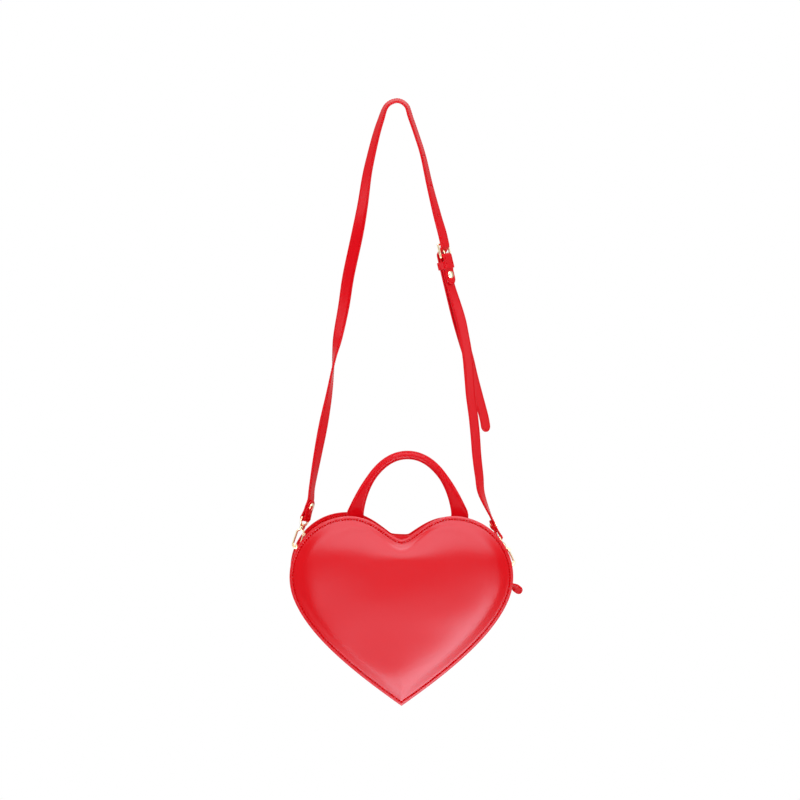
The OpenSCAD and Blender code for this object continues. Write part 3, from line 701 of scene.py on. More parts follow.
class Patterns:
    """The small pieces that rows repeat."""

    STITCH_RINGS = 6

    def __init__(self) -> None:
        """Makes the stitches and the zip tooth."""
        self.stitch = self._stitch(2.75, 0.8, 0.42)
        self.fine = self._stitch(2.0, 0.5, 0.3)
        self.tooth = self._tooth()

    def _stitch(self, length: float, half_width: float, half_height: float) -> bpy.types.Object:
        """A thread that arches out of one hole and into the next.

        Args:
            length: its length.
            half_width: half its width.
            half_height: half its height.

        Returns:
            The hidden pattern.
        """
        rings = []
        for t in np.arange(self.STITCH_RINGS) / (self.STITCH_RINGS - 1):
            swell = math.sqrt(max(0.3, 1 - (2 * t - 1) ** 4))
            middle = np.array([(t - 0.5) * length, 0, 0.2 * math.sin(math.pi * t) - 0.14])
            wide, high = half_width * swell, half_height * swell
            round_ = [[0, wide * math.cos(a), high * math.sin(a)] for a in np.arange(6) * math.pi / 3]
            rings.append(middle + np.array(round_))
        return self._hidden(mesh_piece("stitch_pattern", *tube(rings), Finish.THREAD))

    def _tooth(self) -> bpy.types.Object:
        """A moulded tooth: a root round the tape's edge and a rounded head that meshes.

        Returns:
            The hidden pattern.
        """
        outline = [(-3.5, 0.55), (-2.3, 0.62), (-1.0, 0.42), (-0.2, 0.5)]
        outline += [(0.6, 0.7), (1.15, 0.62), (1.3, 0.3)]
        ring = outline + [(y, -x) for y, x in reversed(outline)]
        rings = [
            np.array([[x * k, y if k == 1 else y * 0.97, z] for y, x in ring])
            for z, k in ((-1.25, 0.7), (-1.0, 1), (1.0, 1), (1.25, 0.7))
        ]
        return self._hidden(mesh_piece("tooth_pattern", *tube(rings), Finish.TEETH))

    def _hidden(self, piece: bpy.types.Object) -> bpy.types.Object:
        """Keeps a pattern out of the render until it is removed."""
        piece.hide_render = True
        return piece

    def remove(self) -> None:
        """Deletes the patterns once everything is laid."""
        for piece in (self.stitch, self.fine, self.tooth):
            bpy.data.objects.remove(piece)


REPEAT = RepeatTree()
PATTERNS = Patterns()


# Sizes shared by the pieces, in millimetres


@dataclass(frozen=True)
class PurseSizes:
    """The driving sizes, the same as the part's source."""

    heart_w: float = 240.0
    lobe_r: float = 65.0
    cleft_z: float = 40.0
    tip_drop: float = 138.5
    tip_slope: float = 35.0
    bag_d: float = 64.0
    crown: float = 9.0
    panel_t: float = 2.0
    lip_w: float = 6.0
    gusset_t: float = 1.6
    zip_slot: float = 13.0
    zip_end: float = 17.0
    handle_h: float = 64.0
    handle_span: float = 113.0
    handle_d: float = 8.6
    foot_w: float = 18.0
    foot_t: float = 3.4
    strap_w: float = 14.0
    strap_t: float = 2.2
    hang_drop: float = 515.0
    bag_x: float = 4.0
    ring_y: float = 15.0
    ring_left: float = 28.0
    ring_right: float = 10.0
    wire_r: float = 1.2
    run_gap: float = 0.35
    loop_gap: float = 0.15
    tab_gap: float = 0.2

    @property
    def lobe_x(self) -> float:
        """Distance of each lobe's centre from the middle."""
        return self.heart_w / 2 - self.lobe_r

    @property
    def loop_in(self) -> float:
        """Inner radius of the leather loops round the wires."""
        return self.wire_r + self.loop_gap

    @property
    def ring_r(self) -> float:
        """Radius of each ring's wire centre."""
        return self.strap_w / 2 + self.wire_r

    @property
    def tab_rad(self) -> float:
        """Radius at which the ring tabs lie on the strip."""
        return self.lobe_r - self.lip_w + self.tab_gap

    @property
    def bar_rad(self) -> float:
        """Radius of the rings' bars."""
        return self.tab_rad + self.gusset_t + self.loop_in

    @property
    def contact(self) -> tuple[float, float]:
        """Where the hooks bear on the rings: out from the lobe's centre, and above the bar."""
        out = self.lobe_r + self.loop_in
        return out, math.sqrt(self.ring_r**2 - (out - self.bar_rad) ** 2)

    @property
    def bag_at(self) -> Array:
        """Place of the bag's own origin."""
        return np.array([self.bag_x, -self.ring_y, -self.hang_drop])


SIZES = PurseSizes()


class Stretch(Enum):
    """A stretch of the heart's outline."""

    WHOLE = "whole"
    TOP = "top"
    LOW_RIGHT = "low right"
    LOW_LEFT = "low left"


@dataclass(frozen=True)
class HeartOutline:
    """The heart's outline, with its offsets.

    The pulls are where the curves' inner control points lie, as shares of the lobe's distance and of
    the tip's depth. The bridge is the level at which the strips close over the cleft. The twist moves
    the back's lobes sideways and down, and more so towards the right by its tilt.
    """

    sizes: PurseSizes = SIZES
    cleft_steps: int = 40
    arc_steps: int = 90
    side_steps: int = 80
    arc_end: float = 23.0
    cleft_pulls: tuple[float, float] = (0.18, 0.52)
    side_pulls: tuple[float, float] = (0.26, 0.58)
    bridge_z: float = 44.0
    bridge_soft: float = 1.0
    twist_side: float = 0.8
    twist_drop: float = 1.3
    twist_tilt: float = 0.048
    twist_from: float = 18.0
    twist_depth: float = 11.0
    twist_height: float = 90.0

    def right_half(self) -> tuple[Array, Array]:
        """Points from the cleft to the tip and their outward normals.

        Returns:
            The points and the normals.
        """
        s = self.sizes
        x, r = s.lobe_x, s.lobe_r
        near, far = self.cleft_pulls
        cleft = np.array([[0, s.cleft_z], [x * near, s.cleft_z], [x * far, r], [x, r]], float)
        p1, d1 = bezier(cleft, np.linspace(0, 1, self.cleft_steps, endpoint=False))
        a = np.radians(np.linspace(90, -self.arc_end, self.arc_steps, endpoint=False))
        p2 = np.stack([x + r * np.cos(a), r * np.sin(a)], 1)
        d2 = np.stack([np.sin(a), -np.cos(a)], 1)
        e, q = math.radians(self.arc_end), math.radians(s.tip_slope)
        start = np.array([x + r * math.cos(e), -r * math.sin(e)])
        tip = np.array([0, -s.tip_drop])
        near, far = self.side_pulls
        side = np.array(
            [
                start,
                start + np.array([-math.sin(e), -math.cos(e)]) * s.tip_drop * near,
                tip + np.array([math.cos(q), math.sin(q)]) * s.tip_drop * far,
                tip,
            ]
        )
        p3, d3 = bezier(side, np.linspace(0, 1, self.side_steps))
        points, ways = np.concatenate([p1, p2, p3]), np.concatenate([d1, d2, d3])
        return points, np.stack([-ways[:, 1], ways[:, 0]], 1)

    def inset(self, stretch: Stretch, depth: float) -> Array:
        """Outline points moved in by a depth.

        Args:
            stretch: which stretch of the outline.
            depth: distance inside the outline; negative is outside.

        Returns:
            The points, with the same count at every depth.
        """
        points, normals = self.right_half()
        half = points - normals * depth
        tip_z = -self.sizes.tip_drop + depth / math.cos(math.radians(self.sizes.tip_slope))
        past = half[:, 0] < 0
        half[past] = [0, tip_z]
        half[0, 0] = 0
        half[-1] = [0, tip_z]
        mirror = half * [-1, 1]
        angle = np.degrees(np.arctan2(points[:, 1], points[:, 0] - self.sizes.lobe_x))
        ends = np.where((angle < -self.sizes.zip_end) & (points[:, 0] > self.sizes.lobe_x))[0][0]
        if stretch is Stretch.WHOLE:
            return np.concatenate([half, mirror[-2:0:-1]])
        if stretch is Stretch.TOP:
            top = np.concatenate([mirror[ends:0:-1], half[: ends + 1]])
            near = np.abs(top[:, 0]) < self.sizes.lobe_x
            level = self.bridge_z - depth
            share = min(1.0, max(0.0, 1 - depth / self.sizes.lip_w) * 2)
            over = self.bridge_soft * np.logaddexp(0, (top[near, 1] - level) / self.bridge_soft)
            top[near, 1] += (level + over - top[near, 1]) * share
            return top
        return half[ends:] if stretch is Stretch.LOW_RIGHT else mirror[ends:]

    def outward(self, stretch: Stretch) -> Array:
        """Outward normals, as vectors of the purse's frame.

        Args:
            stretch: which stretch of the outline.

        Returns:
            A unit vector for each of its points.
        """
        way = self.inset(stretch, -1.0) - self.inset(stretch, 0.0)
        way /= np.linalg.norm(way, axis=1)[:, None]
        return np.stack([way[:, 0], np.zeros(len(way)), way[:, 1]], 1)

    def stand(self, flat: Array, y: float | Array) -> Array:
        """Outline points set upright at a depth y, in the purse's frame."""
        y = np.broadcast_to(y, len(flat))
        return self.twisted(np.stack([flat[:, 0], y, flat[:, 1]], 1)) + self.sizes.bag_at

    def turned(self, points: Array) -> Array:
        """Front points mirrored to the back, with the twist."""
        at = self.sizes.bag_at
        return self.twisted((points - at) * [1, -1, 1]) + at

    def twisted(self, points: Array) -> Array:
        """The bag's points with the slight twist that it hangs with, which shows at the back's lobes.

        Args:
            points: places in the bag's own frame.

        Returns:
            The places, moved most at the back and not at all at the front or at the point.
        """
        x, y, z = points.T
        deep = np.clip((y - self.twist_from) / self.twist_depth, 0, 1)
        high = np.clip((z + self.twist_height) / self.twist_height, 0, 1)
        share = deep * high * high * (3 - 2 * high)
        sink = (self.twist_drop + self.twist_tilt * x) * share
        return points - np.stack([self.twist_side * share, 0 * y, sink], 1)

    def sweep(self, stretch: Stretch, profile: Profile) -> tuple[Array, list[list[int]]]:
        """Carries a closed profile of (depth, y) points along a stretch.

        Args:
            stretch: which stretch of the outline.
            profile: the closed profile.

        Returns:
            The points and the faces' vertex numbers.
        """
        lines = [self.stand(self.inset(stretch, d), y) for d, y in profile]
        rings = [np.array([line[i] for line in lines]) for i in range(len(lines[0]))]
        return tube(rings, closed=stretch is Stretch.WHOLE)

    def row(self, stretch: Stretch, depth: float, y: float, up: Array | None = None) -> Row:
        """A row along a stretch at an inset and a depth y.

        Args:
            stretch: which stretch of the outline.
            depth: distance inside the outline.
            y: depth from front to back.
            up: outward direction, if not the outline's own.

        Returns:
            The row, without repeated points.
        """
        points = self.stand(self.inset(stretch, depth), y)
        keep = np.concatenate([[True], np.linalg.norm(np.diff(points, axis=0), axis=1) > 0.01])
        ups = self.outward(stretch) if up is None else np.tile(up, (len(points), 1))
        return Row(points[keep], ups[keep], closed=stretch is Stretch.WHOLE)


OUTLINE = HeartOutline()


# Sub-assemblies


class HeightField:
    """The height of a skin blown up over the heart, like a soap film under even pressure."""

    MARGIN = 6
    ROUNDS = 700

    def __init__(self, edge: Array, middle: Array, cell: float = 1.5) -> None:
        """Solves the film on a grid of square cells.

        Args:
            edge: the edge's points, from the middle.
            middle: where the middle is.
            cell: size of a cell.
        """
        self.low, self.cell = edge.min(axis=0) + middle - self.MARGIN * cell, cell
        size = np.ceil((edge.max(axis=0) + middle + self.MARGIN * cell - self.low) / cell).astype(int)
        xs, zs = (self.low[k] + np.arange(size[k]) * cell - middle[k] for k in (0, 1))
        x, z = np.meshgrid(xs, zs, indexing="ij")
        angles = np.arctan2(edge[:, 1], edge[:, 0])
        order = np.argsort(angles)
        reach = np.interp(
            np.arctan2(z, x), angles[order], np.linalg.norm(edge, axis=1)[order], period=2 * math.pi
        )
        inside = np.hypot(x, z) < reach
        checker = np.indices(inside.shape).sum(axis=0) % 2
        film, pull = np.zeros(inside.shape), 2 / (1 + math.pi / max(size))
        for count in range(self.ROUNDS):
            around = sum(np.roll(film, way, axis) for way in (1, -1) for axis in (0, 1))
            here = inside & (checker == count % 2)
            film[here] += pull * ((around[here] + 1) / 4 - film[here])
        self.film = film / film.max()

    def at(self, flat: Array) -> Array:
        """The height, up to 1, at points of the heart's plane.

        Args:
            flat: the points.

        Returns:
            The height at each.
        """
        place = (flat - self.low) / self.cell
        corner = np.floor(place).astype(int)
        a, b = (place - corner).T
        i, j = corner.T
        h = self.film
        low = h[i, j] * (1 - a) + h[i + 1, j] * a
        high = h[i, j + 1] * (1 - a) + h[i + 1, j + 1] * a
        return low * (1 - b) + high * b


@dataclass
class HeartPanels:
    """The two crowned leather hearts with their rolled and stitched lips.

    The crown follows a film, made a little fuller and brought down softly beyond soft_share of the
    way to its edge. Above bend_at the skin leans back. Each mark that handling has left is its place
    across and up, its half width and height, and how far it stands out. The shares are how far each
    ring lies from the middle towards the crown's edge.
    """

    outline: HeartOutline = OUTLINE
    rim_w: float = 2.4
    roll: float = 1.4
    roll_w: float = 2.5
    groove_at: float = 3.6
    groove_deep: float = 0.16
    middle_share: float = -0.1
    fullness: float = 0.6
    soft_share: float = 0.9
    soft_drop: float = 1.1
    puff: float = 0.4
    film: HeightField | None = None
    stitch_pitch: float = 3.2
    stitch_sink: float = 0.2
    lean: float = 0.05
    bend_at: float = 29.0
    bend_soft: float = 4.0
    edge_shares: tuple[float, ...] = (1, 0.985, 0.965, 0.94, 0.91, 0.87)
    face_shares: tuple[float, float, int] = (0.83, 0.03, 24)
    inner_shares: tuple[float, ...] = (
        1, 0.97, 0.94, 0.9, 0.84, 0.78, 0.7, 0.62, 0.52, 0.42, 0.3, 0.2, 0.05,
    )
    marks: tuple[tuple[float, float, float, float, float], ...] = (
        (0, 26, 26, 14, 1.3), (-30, -34, 34, 18, 0.5), (30, -60, 40, 20, -0.5), (58, -40, 26, 30, 0.5),
        (-6, -104, 22, 16, 0.6), (-44, -70, 24, 26, -0.5), (86, 0, 14, 34, 0.5), (-94, -12, 10, 22, 0.5),
    )

    def dents(self, x: Array, z: Array, back: bool) -> Array:
        """Soft hollows and swells that handling leaves in the leather, in millimetres.

        Args:
            x: places across the heart.
            z: places up the heart.
            back: whether it is the rear panel, which is worn a little differently.

        Returns:
            How far each place stands out. Above the bend the skin leans back.
        """
        total = -self.lean * self.bend_soft * np.log1p(np.exp((z - self.bend_at) / self.bend_soft))
        for cx, cz, wide, high, deep in self.marks:
            cx = -cx * 0.8 if back else cx
            total += deep * np.exp(-(((x - cx) / wide) ** 2) - ((z - cz) / high) ** 2)
        return total

    def skin(self, shares: Sequence[float], depth: float, back: bool) -> list[Array]:
        """Rings of one crowned sheet.

        Args:
            shares: each ring's share of the way from the middle to the edge.
            depth: how far in front of the middle plane the sheet's edge lies.
            back: whether it is the rear panel's sheet.

        Returns:
            The rings, all at the front.
        """
        edge = self.outline.inset(Stretch.WHOLE, self.outline.sizes.lip_w)
        middle = np.array([0, self.outline.sizes.tip_drop * self.middle_share])
        made = []
        for share, lift in zip(shares, self.crown(edge, middle, shares)):
            flat = middle + (edge - middle) * share
            dent = self.dents(flat[:, 0], flat[:, 1], back) * min(1.0, (1 - share) * 6)
            made.append(self.outline.stand(flat, -(depth + lift + dent)))
        return made

    def crown(self, edge: Array, middle: Array, shares: Sequence[float]) -> list[Array]:
        """The crown's height on rings between the edge and the middle.

        Args:
            edge: the crown's edge.
            middle: its middle.
            shares: each ring's share of the way out.

        Returns:
            The heights along each ring. Near the edge they fall to zero in an even curve.
        """
        if self.film is None:
            self.film = HeightField(edge - middle, middle)
        film, top = self.film, self.outline.sizes.crown

        def height(share: float) -> Array:
            """The film's height on one ring, a little fuller than the film."""
            return top * np.maximum(0, film.at(middle + (edge - middle) * share)) ** self.fullness

        seam, step = self.soft_share, 0.02
        start, slope = height(seam), (height(seam) - height(seam - step)) / step * (1 - seam)
        made = []
        for share in shares:
            if share <= seam:
                made.append(height(share))
                continue
            t = (share - seam) / (1 - seam)
            rise, run = 2 * t**3 - 3 * t**2 + 1, t**3 - 2 * t**2 + t
            made.append(start * (rise - self.soft_drop * (t**3 - t**2)) + slope * run)
        return made

    def build(self, back: bool) -> bpy.types.Object:
        """Makes one panel.

        Args:
            back: whether it is the rear one.

        Returns:
            The dressed piece.
        """
        s = self.outline.sizes
        face, r = s.bag_d / 2, self.roll
        profile = [(s.lip_w, face - s.panel_t), (self.rim_w, face - s.panel_t)]
        for a in range(-80, 91, 17):
            t = math.radians(a)
            profile.append((self.roll_w * (1 - math.cos(t)), face - r + r * math.sin(t)))
        deep = -self.groove_deep
        groove = [(2.75, -0.02), (3.0, -0.06), (3.2, deep), (4.0, deep), (4.35, -0.08)]
        profile += [(inwards, face + height) for inwards, height in groove + [(4.7, 0.06), (5.3, 0.22)]]
        rings = [self.outline.stand(self.outline.inset(Stretch.WHOLE, d), -y) for d, y in profile]
        shares = list(self.edge_shares) + list(np.linspace(*self.face_shares))
        rings += self.skin(shares, face + self.puff, back)
        count = len(rings[0])
        core = self.skin(self.inner_shares, face - s.panel_t, back)
        points, faces = tube(rings)
        faces = faces[:-2]
        base = len(points)
        inside = grid_faces(len(core), count)
        faces += [[i + base for i in reversed(f)] for f in inside]
        faces += [[c, (c + 1) % count, base + (c + 1) % count, base + c] for c in range(count)]
        top = (len(rings) - 1) * count
        low = base + (len(core) - 1) * count
        tops, lows = rings[-1].mean(axis=0)[None], core[-1].mean(axis=0)[None]
        points = np.concatenate([points, np.concatenate(core), tops, lows])
        faces += [[top + c, top + (c + 1) % count, len(points) - 2] for c in range(count)]
        faces += [[low + (c + 1) % count, low + c, len(points) - 1] for c in range(count)]
        if back:
            points = self.outline.turned(points)
        name = "panel_leather_back" if back else "panel_leather_front"
        piece = mesh_piece(name, points, faces, Finish.PANEL)
        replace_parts(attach(piece, "bag"), "back_panel" if back else "front_panel")
        return piece

    def rows(self) -> list[Row]:
        """The stitch rows round both lips, on the outside and towards the gusset.

        Returns:
            The rows of the front panel and the back one.
        """
        s = self.outline.sizes
        out = s.bag_d / 2 - self.groove_deep + self.stitch_sink
        under = s.bag_d / 2 - s.panel_t - s.gusset_t - self.stitch_sink / 2
        made = []
        for side in (-1.0, 1.0):
            up = np.array([0, side, 0])
            made.append(self.outline.row(Stretch.WHOLE, self.groove_at, side * out, up))
            made.append(self.outline.row(Stretch.WHOLE, self.groove_at, side * under, -up))
        return made


@dataclass
class Gusset:
    """The band between the hearts: the lower gusset in two halves and the two zip strips.

    The corner's points are steps from the wall and from the flange's inner face. The fold's points
    are steps from the wall and from the slot's edge. Stitches cross the gusset at cross_steps, counted
    in points of the outline from the zip's end.
    """

    outline: HeartOutline = OUTLINE
    rim: float = 0.35
    corner: Profile = ((-0.9, 0.0), (-0.2, -0.3), (0.0, -1.0))
    fold: Profile = ((0.0, 6.0), (0.0, 1.2), (0.1, 0.5), (0.45, 0.1), (0.8, 0.0))
    lining_t: float = 0.6
    ribs: tuple[float, ...] = (-12.0, 0.0, 12.0)
    stitch_sink: float = 0.08
    slot_margin: float = 2.4
    cross_reach: float = 26.0
    cross_count: int = 30
    cross_steps: tuple[int, int] = (4, 8)

    def _flange(self, side: float) -> list[tuple[float, float]]:
        """Profile of one turned-out edge, from its rim to the wall.

        Args:
            side: -1 at the front, 1 at the back.

        Returns:
            The profile.
        """
        s = self.outline.sizes
        seam = s.bag_d / 2 - s.panel_t
        near = seam - s.gusset_t
        corner = [(s.lip_w + inwards, side * (near + along)) for inwards, along in self.corner]
        return [(self.rim, side * seam), (self.rim, side * near)] + corner

    def lower(self, stretch: Stretch) -> bpy.types.Object:
        """Makes one half of the lower gusset.

        Args:
            stretch: which half.

        Returns:
            The dressed piece.
        """
        s = self.outline.sizes
        wall = s.lip_w + s.gusset_t
        seam = s.bag_d / 2 - s.panel_t
        profile = self._flange(-1) + [(s.lip_w, y) for y in self.ribs] + self._flange(1)[::-1]
        profile += [(wall, seam), (wall, 0.0), (wall, -seam)]
        side = "left" if stretch is Stretch.LOW_LEFT else "right"
        piece = mesh_piece(f"gusset_leather_{side}", *self.outline.sweep(stretch, profile), Finish.TRIM)
        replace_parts(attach(bend(piece), "bag"), f"gusset_{side}")
        return piece

    def strip(self, back: bool) -> bpy.types.Object:
        """Makes one zip strip, folded over at the slot.

        Args:
            back: whether it is the rear one.

        Returns:
            The dressed piece.
        """
        s = self.outline.sizes
        side = 1.0 if back else -1.0
        wall, slot = s.lip_w + s.gusset_t, s.zip_slot / 2
        profile = self._flange(side)
        profile += [(s.lip_w + inwards, side * (slot + along)) for inwards, along in self.fold]
        profile += [(wall - 0.3, side * (slot + 0.15)), (wall, side * (slot + 0.7))]
        profile.append((wall, side * (s.bag_d / 2 - s.panel_t)))
        end = "back" if back else "front"
        piece = mesh_piece("zip_strip_leather_" + end, *self.outline.sweep(Stretch.TOP, profile), Finish.TRIM)
        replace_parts(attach(bend(piece), "bag"), "zip_strip_" + end)
        return piece

    def lining(self) -> bpy.types.Object:
        """Makes the cloth that lines the lower gusset.

        Returns:
            The dressed piece.
        """
        s = self.outline.sizes
        wall, edge = s.lip_w + s.gusset_t, s.bag_d / 2 - 2 * s.panel_t
        inner = wall + self.lining_t
        profile = [(wall, -edge), (wall, edge), (inner, edge), (inner, -edge)]
        parts = [self.outline.sweep(stretch, profile) for stretch in (Stretch.LOW_RIGHT, Stretch.LOW_LEFT)]
        shift = len(parts[0][0])
        points = np.concatenate([parts[0][0], parts[1][0]])
        faces = parts[0][1] + [[i + shift for i in f] for f in parts[1][1]]
        piece = mesh_piece("gusset_lining_cloth", points, faces, Finish.LINING)
        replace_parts(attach(bend(piece), "bag"), "gusset_lining")
        return piece

    def rows(self) -> list[Row]:
        """The stitch rows beside the slot and across both ends of the strips.

        Returns:
            The rows.
        """
        s = self.outline.sizes
        depth, beside = s.lip_w - self.stitch_sink, s.zip_slot / 2 + self.slot_margin
        made = [self.outline.row(Stretch.TOP, depth, side * beside) for side in (-1.0, 1.0)]
        ys = np.linspace(-self.cross_reach, self.cross_reach, self.cross_count)
        for stretch in (Stretch.LOW_RIGHT, Stretch.LOW_LEFT):
            flat, out = self.outline.inset(stretch, depth), self.outline.outward(stretch)
            for index in self.cross_steps:
                points = np.array([self.outline.stand(flat[index : index + 1], y)[0] for y in ys])
                made.append(Row(points, np.tile(out[index], (len(ys), 1))))
        return made


@dataclass
class PanelLayers:
    """The stiff board behind each panel and the cloth behind the board."""

    panels: HeartPanels = field(default_factory=HeartPanels)
    board_t: float = 1.0
    lining_t: float = 0.6
    seat_gap: float = 0.1
    shares: tuple[float, ...] = (0.03, 0.2, 0.3, 0.42, 0.52, 0.62, 0.7, 0.78, 0.84, 0.9, 0.94, 0.97)

    def sheet(self, name: str, depth: float, thick: float, back: bool, finish: Finish) -> bpy.types.Object:
        """Makes one closed sheet that follows the panel's crown.

        Args:
            name: the CAD node that it stands for.
            depth: how far in front of the middle plane its outer face's edge lies.
            thick: its thickness.
            back: whether it belongs to the rear panel.
            finish: its finish.

        Returns:
            The piece, riding on the bag.
        """
        outer = self.panels.skin(self.shares, depth, back)
        inner = self.panels.skin(self.shares[::-1], depth - thick, back)
        points, faces = tube(outer + inner)
        if back:
            points = self.panels.outline.turned(points)
        piece = mesh_piece(f"{name}_sheet", points, faces, finish)
        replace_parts(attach(piece, "bag"), name)
        return piece

    def build(self, back: bool) -> list[bpy.types.Object]:
        """Makes the board and the lining of one panel.

        Args:
            back: whether they are the rear ones.

        Returns:
            The board and the lining.
        """
        s, side = self.panels.outline.sizes, "back" if back else "front"
        under = s.bag_d / 2 - s.panel_t - self.seat_gap
        board = self.sheet(f"{side}_board", under, self.board_t, back, Finish.BOARD)
        cloth = self.sheet(
            f"{side}_lining", under - self.board_t - self.seat_gap, self.lining_t, back, Finish.LINING
        )
        return [board, cloth]


@dataclass
class ZipChain:
    """Zip tapes, the two rows of teeth and the leather pull.

    The pull hangs out by pull_turn below the lobe's radius and twists by pull_twist along its length.
    """

    outline: HeartOutline = OUTLINE
    tape_w: float = 11.0
    tape_t: float = 0.7
    cord_w: float = 1.4
    cord_t: float = 0.5
    root_y: float = 3.4
    tooth_t: float = 2.6
    tooth_pitch: float = 3.2
    chain_end: float = 10.5
    slider_l: float = 11.0
    slider_nose: float = 2.0
    slider_t: float = 1.3
    link_r: float = 0.7
    pull_l: float = 20.0
    pull_w: float = 9.5
    pull_t: float = 2.8
    pull_turn: float = 31.0
    pull_twist: float = 62.0
    pull_steps: int = 12
    pull_margin: float = 1.3
    pull_pitch: float = 2.4
    link_l: float = 5.0

    def tape(self, back: bool) -> bpy.types.Object:
        """Makes one tape with its corded edge.

        Args:
            back: whether it is the rear one.

        Returns:
            The dressed piece.
        """
        s = self.outline.sizes
        side = 1.0 if back else -1.0
        wall = s.lip_w + s.gusset_t
        y0, y1 = side * self.root_y, side * (self.root_y + self.tape_w)
        cord, inner = wall - self.cord_t, wall + self.tape_t
        profile = [(wall, y1), (wall, side * (self.root_y + self.cord_w))]
        profile += [(cord, side * (self.root_y + 0.9)), (cord, side * (self.root_y + 0.3))]
        profile += [(wall, y0), (inner, y0), (inner, y1)]
        end = "back" if back else "front"
        piece = mesh_piece("zip_tape_cloth_" + end, *self.outline.sweep(Stretch.TOP, profile), Finish.TAPE)
        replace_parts(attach(bend(piece), "bag"), "zip_tape_" + end)
        return piece

    def _teeth_line(self) -> tuple[Array, Array]:
        """The chain's middle line over the top, left to right, with its outward normals.

        Returns:
            The points and the normals.
        """
        s = self.outline.sizes
        depth = s.lip_w + s.gusset_t + self.tape_t / 2
        flat, out = self.outline.inset(Stretch.TOP, depth), self.outline.outward(Stretch.TOP)
        base = self.outline.inset(Stretch.TOP, 0)
        angle = np.degrees(np.arctan2(base[:, 1], np.abs(base[:, 0]) - s.lobe_x))
        keep = (angle > -self.chain_end) | (np.abs(base[:, 0]) < s.lobe_x)
        return self.outline.stand(flat[keep], 0.0), out[keep]

    def teeth(self, back: bool) -> bpy.types.Object:
        """Lays one row of teeth along the chain.

        Args:
            back: whether it is the rear one.

        Returns:
            The dressed piece.
        """
        points, ups = self._teeth_line()
        along = np.concatenate([[0], np.cumsum(np.linalg.norm(np.diff(points, axis=0), axis=1))])
        start = self.tooth_pitch * (1.25 if back else 0.75)
        marks = np.arange(start, along[-1] - self.tooth_pitch * 0.4, self.tooth_pitch)
        at = np.stack([np.interp(marks, along, points[:, k]) for k in range(3)], 1)
        up = np.stack([np.interp(marks, along, ups[:, k]) for k in range(3)], 1)
        if back:
            at, up = at[::-1], up[::-1]
        end = "back" if back else "front"
        row = [Row(at, up)]
        piece = REPEAT.lay(f"zip_teeth_row_{end}", row, self.tooth_pitch, PATTERNS.tooth, Finish.TEETH)
        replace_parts(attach(piece, "bag"), "zip_teeth_" + end)
        return piece

    def pull(self) -> list[bpy.types.Object]:
        """Makes the leather pull and its stitching, hanging from the slider's link.

        Returns:
            The leather and the stitching.
        """
        s = self.outline.sizes
        tooth_mid = s.lip_w + s.gusset_t + self.tape_t / 2
        plate = s.lobe_r - (tooth_mid - self.tooth_t / 2) + s.run_gap + self.slider_t
        arm = plate + self.link_r + s.run_gap / 2
        turn = (self.slider_l / 2 - self.slider_nose) / (s.lobe_r - tooth_mid) - math.radians(self.chain_end)
        pivot = s.bag_at + np.array([s.lobe_x + arm * math.cos(turn), 0, arm * math.sin(turn)])
        tilt = turn - math.radians(self.pull_turn)
        out = np.array([math.cos(tilt), 0, math.sin(tilt)])
        half, start = self.pull_w / 2, self.link_l - self.pull_t / 2
        marks = np.linspace(0, 1, self.pull_steps)
        line = [pivot + out * (start + share * (self.pull_l - half - start)) for share in marks]
        turns = math.radians(self.pull_twist) * np.clip(marks * 1.5, 0, 1) ** 1.3
        flat = np.array([math.sin(tilt), 0, -math.cos(tilt)])
        sides = [np.array([0.0, math.cos(a), 0.0]) + flat * math.sin(a) for a in turns]
        path = np.array(line), np.array(sides)
        ribbon = Ribbon("zip_pull_leather", *path, half, self.pull_t, round_start=False)
        piece = ribbon.build(Finish.TRIM)
        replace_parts(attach(piece, "pull"), "zip_pull")
        rows = ribbon.rows(self.pull_margin)
        sewn = REPEAT.lay("zip_pull_stitches", rows, self.pull_pitch, PATTERNS.fine, Finish.THREAD)
        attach(sewn, "pull")
        return [piece, sewn]


class Spot(NamedTuple):
    """A point of a ribbon's line, with the directions across, out of and along the ribbon."""

    place: Array
    side: Array
    up: Array
    along: Array


